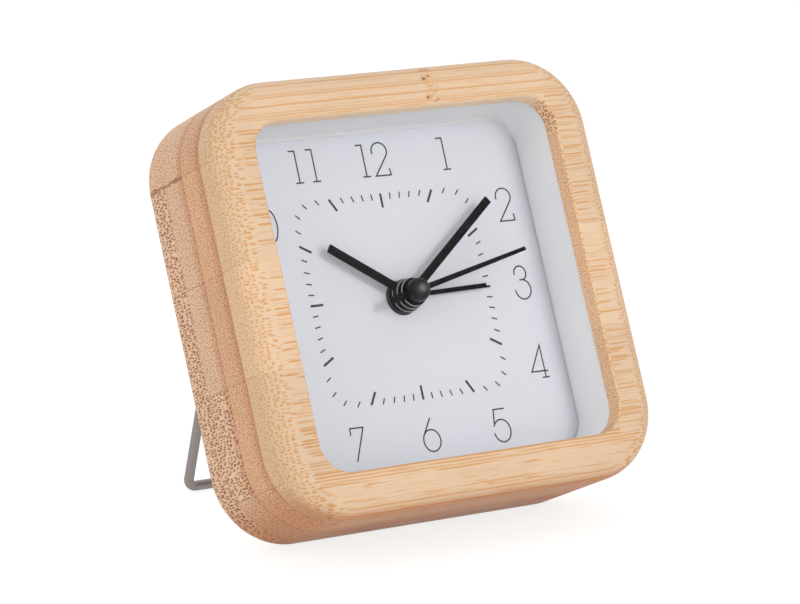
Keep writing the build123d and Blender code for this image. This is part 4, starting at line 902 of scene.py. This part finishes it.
# Strokes of each digit, measured from the middle of its height
ONE = [[(-1.57, 3.74), (0.0, 3.74), (0.0, -3.7)], [(-1.05, -3.7), (1.05, -3.7)]]
TWO = [arc((-0.1, 1.95), (2.0, 2.0), 195, -35) + [(-2.09, -3.76), (1.9, -3.76), (1.78, -2.2)]]
THREE = [
    arc((0.05, 2.2), (1.6, 1.7), 190, -65),
    [(-0.44, 0.66), (0.78, 0.66)],
    arc((0.05, -1.6), (2.1, 2.3), 75, -180),
]
FOUR = [[(1.36, -3.6), (1.26, 3.95), (-2.22, -2.09), (2.28, -2.09)], [(0.31, -3.6), (2.3, -3.6)]]
FIVE = [[(1.65, 3.75), (-1.3, 3.75), (-1.78, 0.13)] + arc((0.05, -1.28), (2.23, 2.6), 148, -172)]
SIX = [[(0.58, 3.85), (-1.83, 0.0)] + arc((0.05, -1.36), (2.22, 2.5), 148, 508)]
SEVEN = [[(-1.7, 2.09), (-1.62, 3.71), (1.83, 3.66), (-1.31, -3.9)]]
EIGHT = [arc((0.0, 1.95), (1.7, 1.85), -90, 270), arc((0.0, -1.85), (2.15, 1.95), 90, 450)]
NINE = [[(-px, -py) for px, py in stroke] for stroke in SIX]
ZERO = [arc((0.0, 0.0), (1.95, 3.8), 90, 450)]
# Where each hour's number stands, and its digits with their offsets
HOUR_NUMBERS = {
    12: (0.0, 31.81, ((ONE, -2.43), (TWO, 2.1))),
    1: (19.21, 31.81, ((ONE, 0.0),)),
    2: (32.62, 18.5, ((TWO, 0.0),)),
    3: (32.62, 0.0, ((THREE, 0.0),)),
    4: (32.44, -18.85, ((FOUR, 0.0),)),
    5: (18.94, -32.08, ((FIVE, 0.0),)),
    6: (0.0, -32.08, ((SIX, 0.0),)),
    7: (-18.94, -32.08, ((SEVEN, 0.0),)),
    8: (-32.62, -18.99, ((EIGHT, 0.0),)),
    9: (-32.62, 0.0, ((NINE, 0.0),)),
    10: (-32.27, 18.99, ((ONE, -2.43), (ZERO, 2.1))),
    11: (-18.32, 31.81, ((ONE, -1.78), (ONE, 2.67))),
}


def on_dial(across, up, raised):
    """A point of the print, which sits a little turned and high on the dial."""
    rise = up + PRINT_LIFT
    right = across * cos(PRINT_TURN) - rise * sin(PRINT_TURN)
    above = across * sin(PRINT_TURN) + rise * cos(PRINT_TURN)
    return DIAL_FRONT + (RIGHT * right + UP * above - BACK * raised) * MM


def unit(start, end):
    step = Vector(end) - Vector(start)
    return step.normalized()


def print_stroke(mesh, points, width):
    """Lays a flat ribbon of ink along the points, with mitred corners."""
    steps = [unit(a, b) for a, b in zip(points, points[1:])]
    before = [steps[0], *steps]
    after = [*steps, steps[-1]]
    rows = []
    for spot, come, go in zip(points, before, after):
        mitre = (come + go).normalized()
        across = Vector((-mitre.y, mitre.x)) * (width / 2) / max(MITRE_LIMIT, mitre.dot(go))
        sides = [(spot[0] + across.x, spot[1] + across.y), (spot[0] - across.x, spot[1] - across.y)]
        corners = [on_dial(*side, raised) for raised in (PRINT_THICKNESS, 0.0) for side in sides]
        rows.append([mesh.verts.new(corner) for corner in corners])
    for (a, b, c, d), (e, f, g, h) in zip(rows, rows[1:]):
        for ring in ((a, e, f, b), (c, d, h, g), (a, c, g, e), (b, f, h, d)):
            mesh.faces.new(ring)
    for a, b, c, d in (rows[0], rows[-1]):
        mesh.faces.new((a, b, d, c))


def finish_print(mesh, name, ink):
    """Turns the inked strokes into a piece that rides on the dial's body."""
    bmesh.ops.recalc_face_normals(mesh, faces=mesh.faces)
    data = bpy.data.meshes.new(name)
    mesh.to_mesh(data)
    mesh.free()
    data.materials.append(ink)
    piece = bpy.data.objects.new(name, data)
    bpy.context.scene.collection.objects.link(piece)
    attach(piece, "clock")


def print_dial(ink):
    numbers = bmesh.new()
    for across, up, digits in HOUR_NUMBERS.values():
        for strokes, offset in digits:
            for stroke in strokes:
                moved = [(px + across + offset, py + up) for px, py in stroke]
                print_stroke(numbers, moved, NUMBER_STROKE)
    finish_print(numbers, "hour_numbers", ink)
    marks = bmesh.new()
    for minute in range(MINUTES):
        turn = tau * minute / MINUTES
        outwards = Vector((sin(turn), cos(turn)))
        past = minute % QUARTER
        middle = TRACK[min(past, QUARTER - past)]
        length, width = HOUR_MARK if minute % MINUTES_PER_HOUR == 0 else MINUTE_MARK
        ends = [outwards * (middle - length / 2), outwards * (middle + length / 2)]
        print_stroke(marks, [tuple(end) for end in ends], width)
    finish_print(marks, "minute_marks", ink)


PRINT_INK = {"Color": srgb(40, 40, 44), "Cloud": 0.2, "Pit_Scale": 5000.0, "Roughness": 0.6}
INK_PIT_DEPTH = 0.002


def make_ink():
    """Screen-printed ink, slightly uneven."""
    finish, tree = new_finish("print_ink")
    skin = place_effect(tree, moulded_skin, **PRINT_INK)
    inputs = {
        "Base Color": skin["Color"],
        "Roughness": skin["Roughness"],
        "Normal": bump(tree, skin["Height"], INK_PIT_DEPTH * MM),
    }
    show(tree, principled(tree, inputs))
    return finish


def seen_share(tree):
    """1 for rays that show the background: straight, off gloss or through glass, not off a dull surface."""
    rays = put(tree, "ShaderNodeLightPath").outputs
    straight = calc(tree, "MAXIMUM", rays["Is Camera Ray"], rays["Is Glossy Ray"])
    through = calc(tree, "MAXIMUM", straight, rays["Is Transmission Ray"])
    return product(tree, through, calc(tree, "LESS_THAN", rays["Diffuse Depth"], BETWEEN))


def set_world():
    world = bpy.data.worlds.new("white_studio")
    world.use_nodes = True
    tree = world.node_tree
    tree.nodes.clear()
    strength = choose(tree, seen_share(tree), WORLD_LIGHT, BACKGROUND_WHITE)
    white = put(tree, "ShaderNodeBackground", {"Color": grey(1.0), "Strength": strength}).outputs[0]
    put(tree, "ShaderNodeOutputWorld", {"Surface": white})
    bpy.context.scene.world = world


def set_floor():
    """A white sweep that stays white in the picture and keeps the clock's shadow."""
    finish, tree = new_finish("white_sweep")
    bounce = {"Base Color": grey(FLOOR_BOUNCE), "Roughness": FLOOR_ROUGHNESS}
    seen = {
        "Base Color": grey(FLOOR_SEEN),
        "Roughness": FLOOR_ROUGHNESS,
        "Emission Color": grey(1.0),
        "Emission Strength": FLOOR_GLOW,
    }
    both = {0: seen_share(tree), 1: principled(tree, bounce), 2: principled(tree, seen)}
    show(tree, put(tree, "ShaderNodeMixShader", both).outputs[0])
    signs = ((-1, -1), (1, -1), (1, 1), (-1, 1))
    corners = [(x_sign * FLOOR_HALF, y_sign * FLOOR_HALF, 0.0) for x_sign, y_sign in signs]
    data = bpy.data.meshes.new("floor")
    data.from_pydata(corners, [], [(0, 1, 2, 3)])
    data.materials.append(finish)
    floor = bpy.data.objects.new("floor", data)
    bpy.context.scene.collection.objects.link(floor)


bpy.context.scene.view_settings.view_transform = "Standard"
set_camera()
set_softboxes()
set_world()
set_floor()
dress_nodes(make_finishes())
print_dial(make_ink())
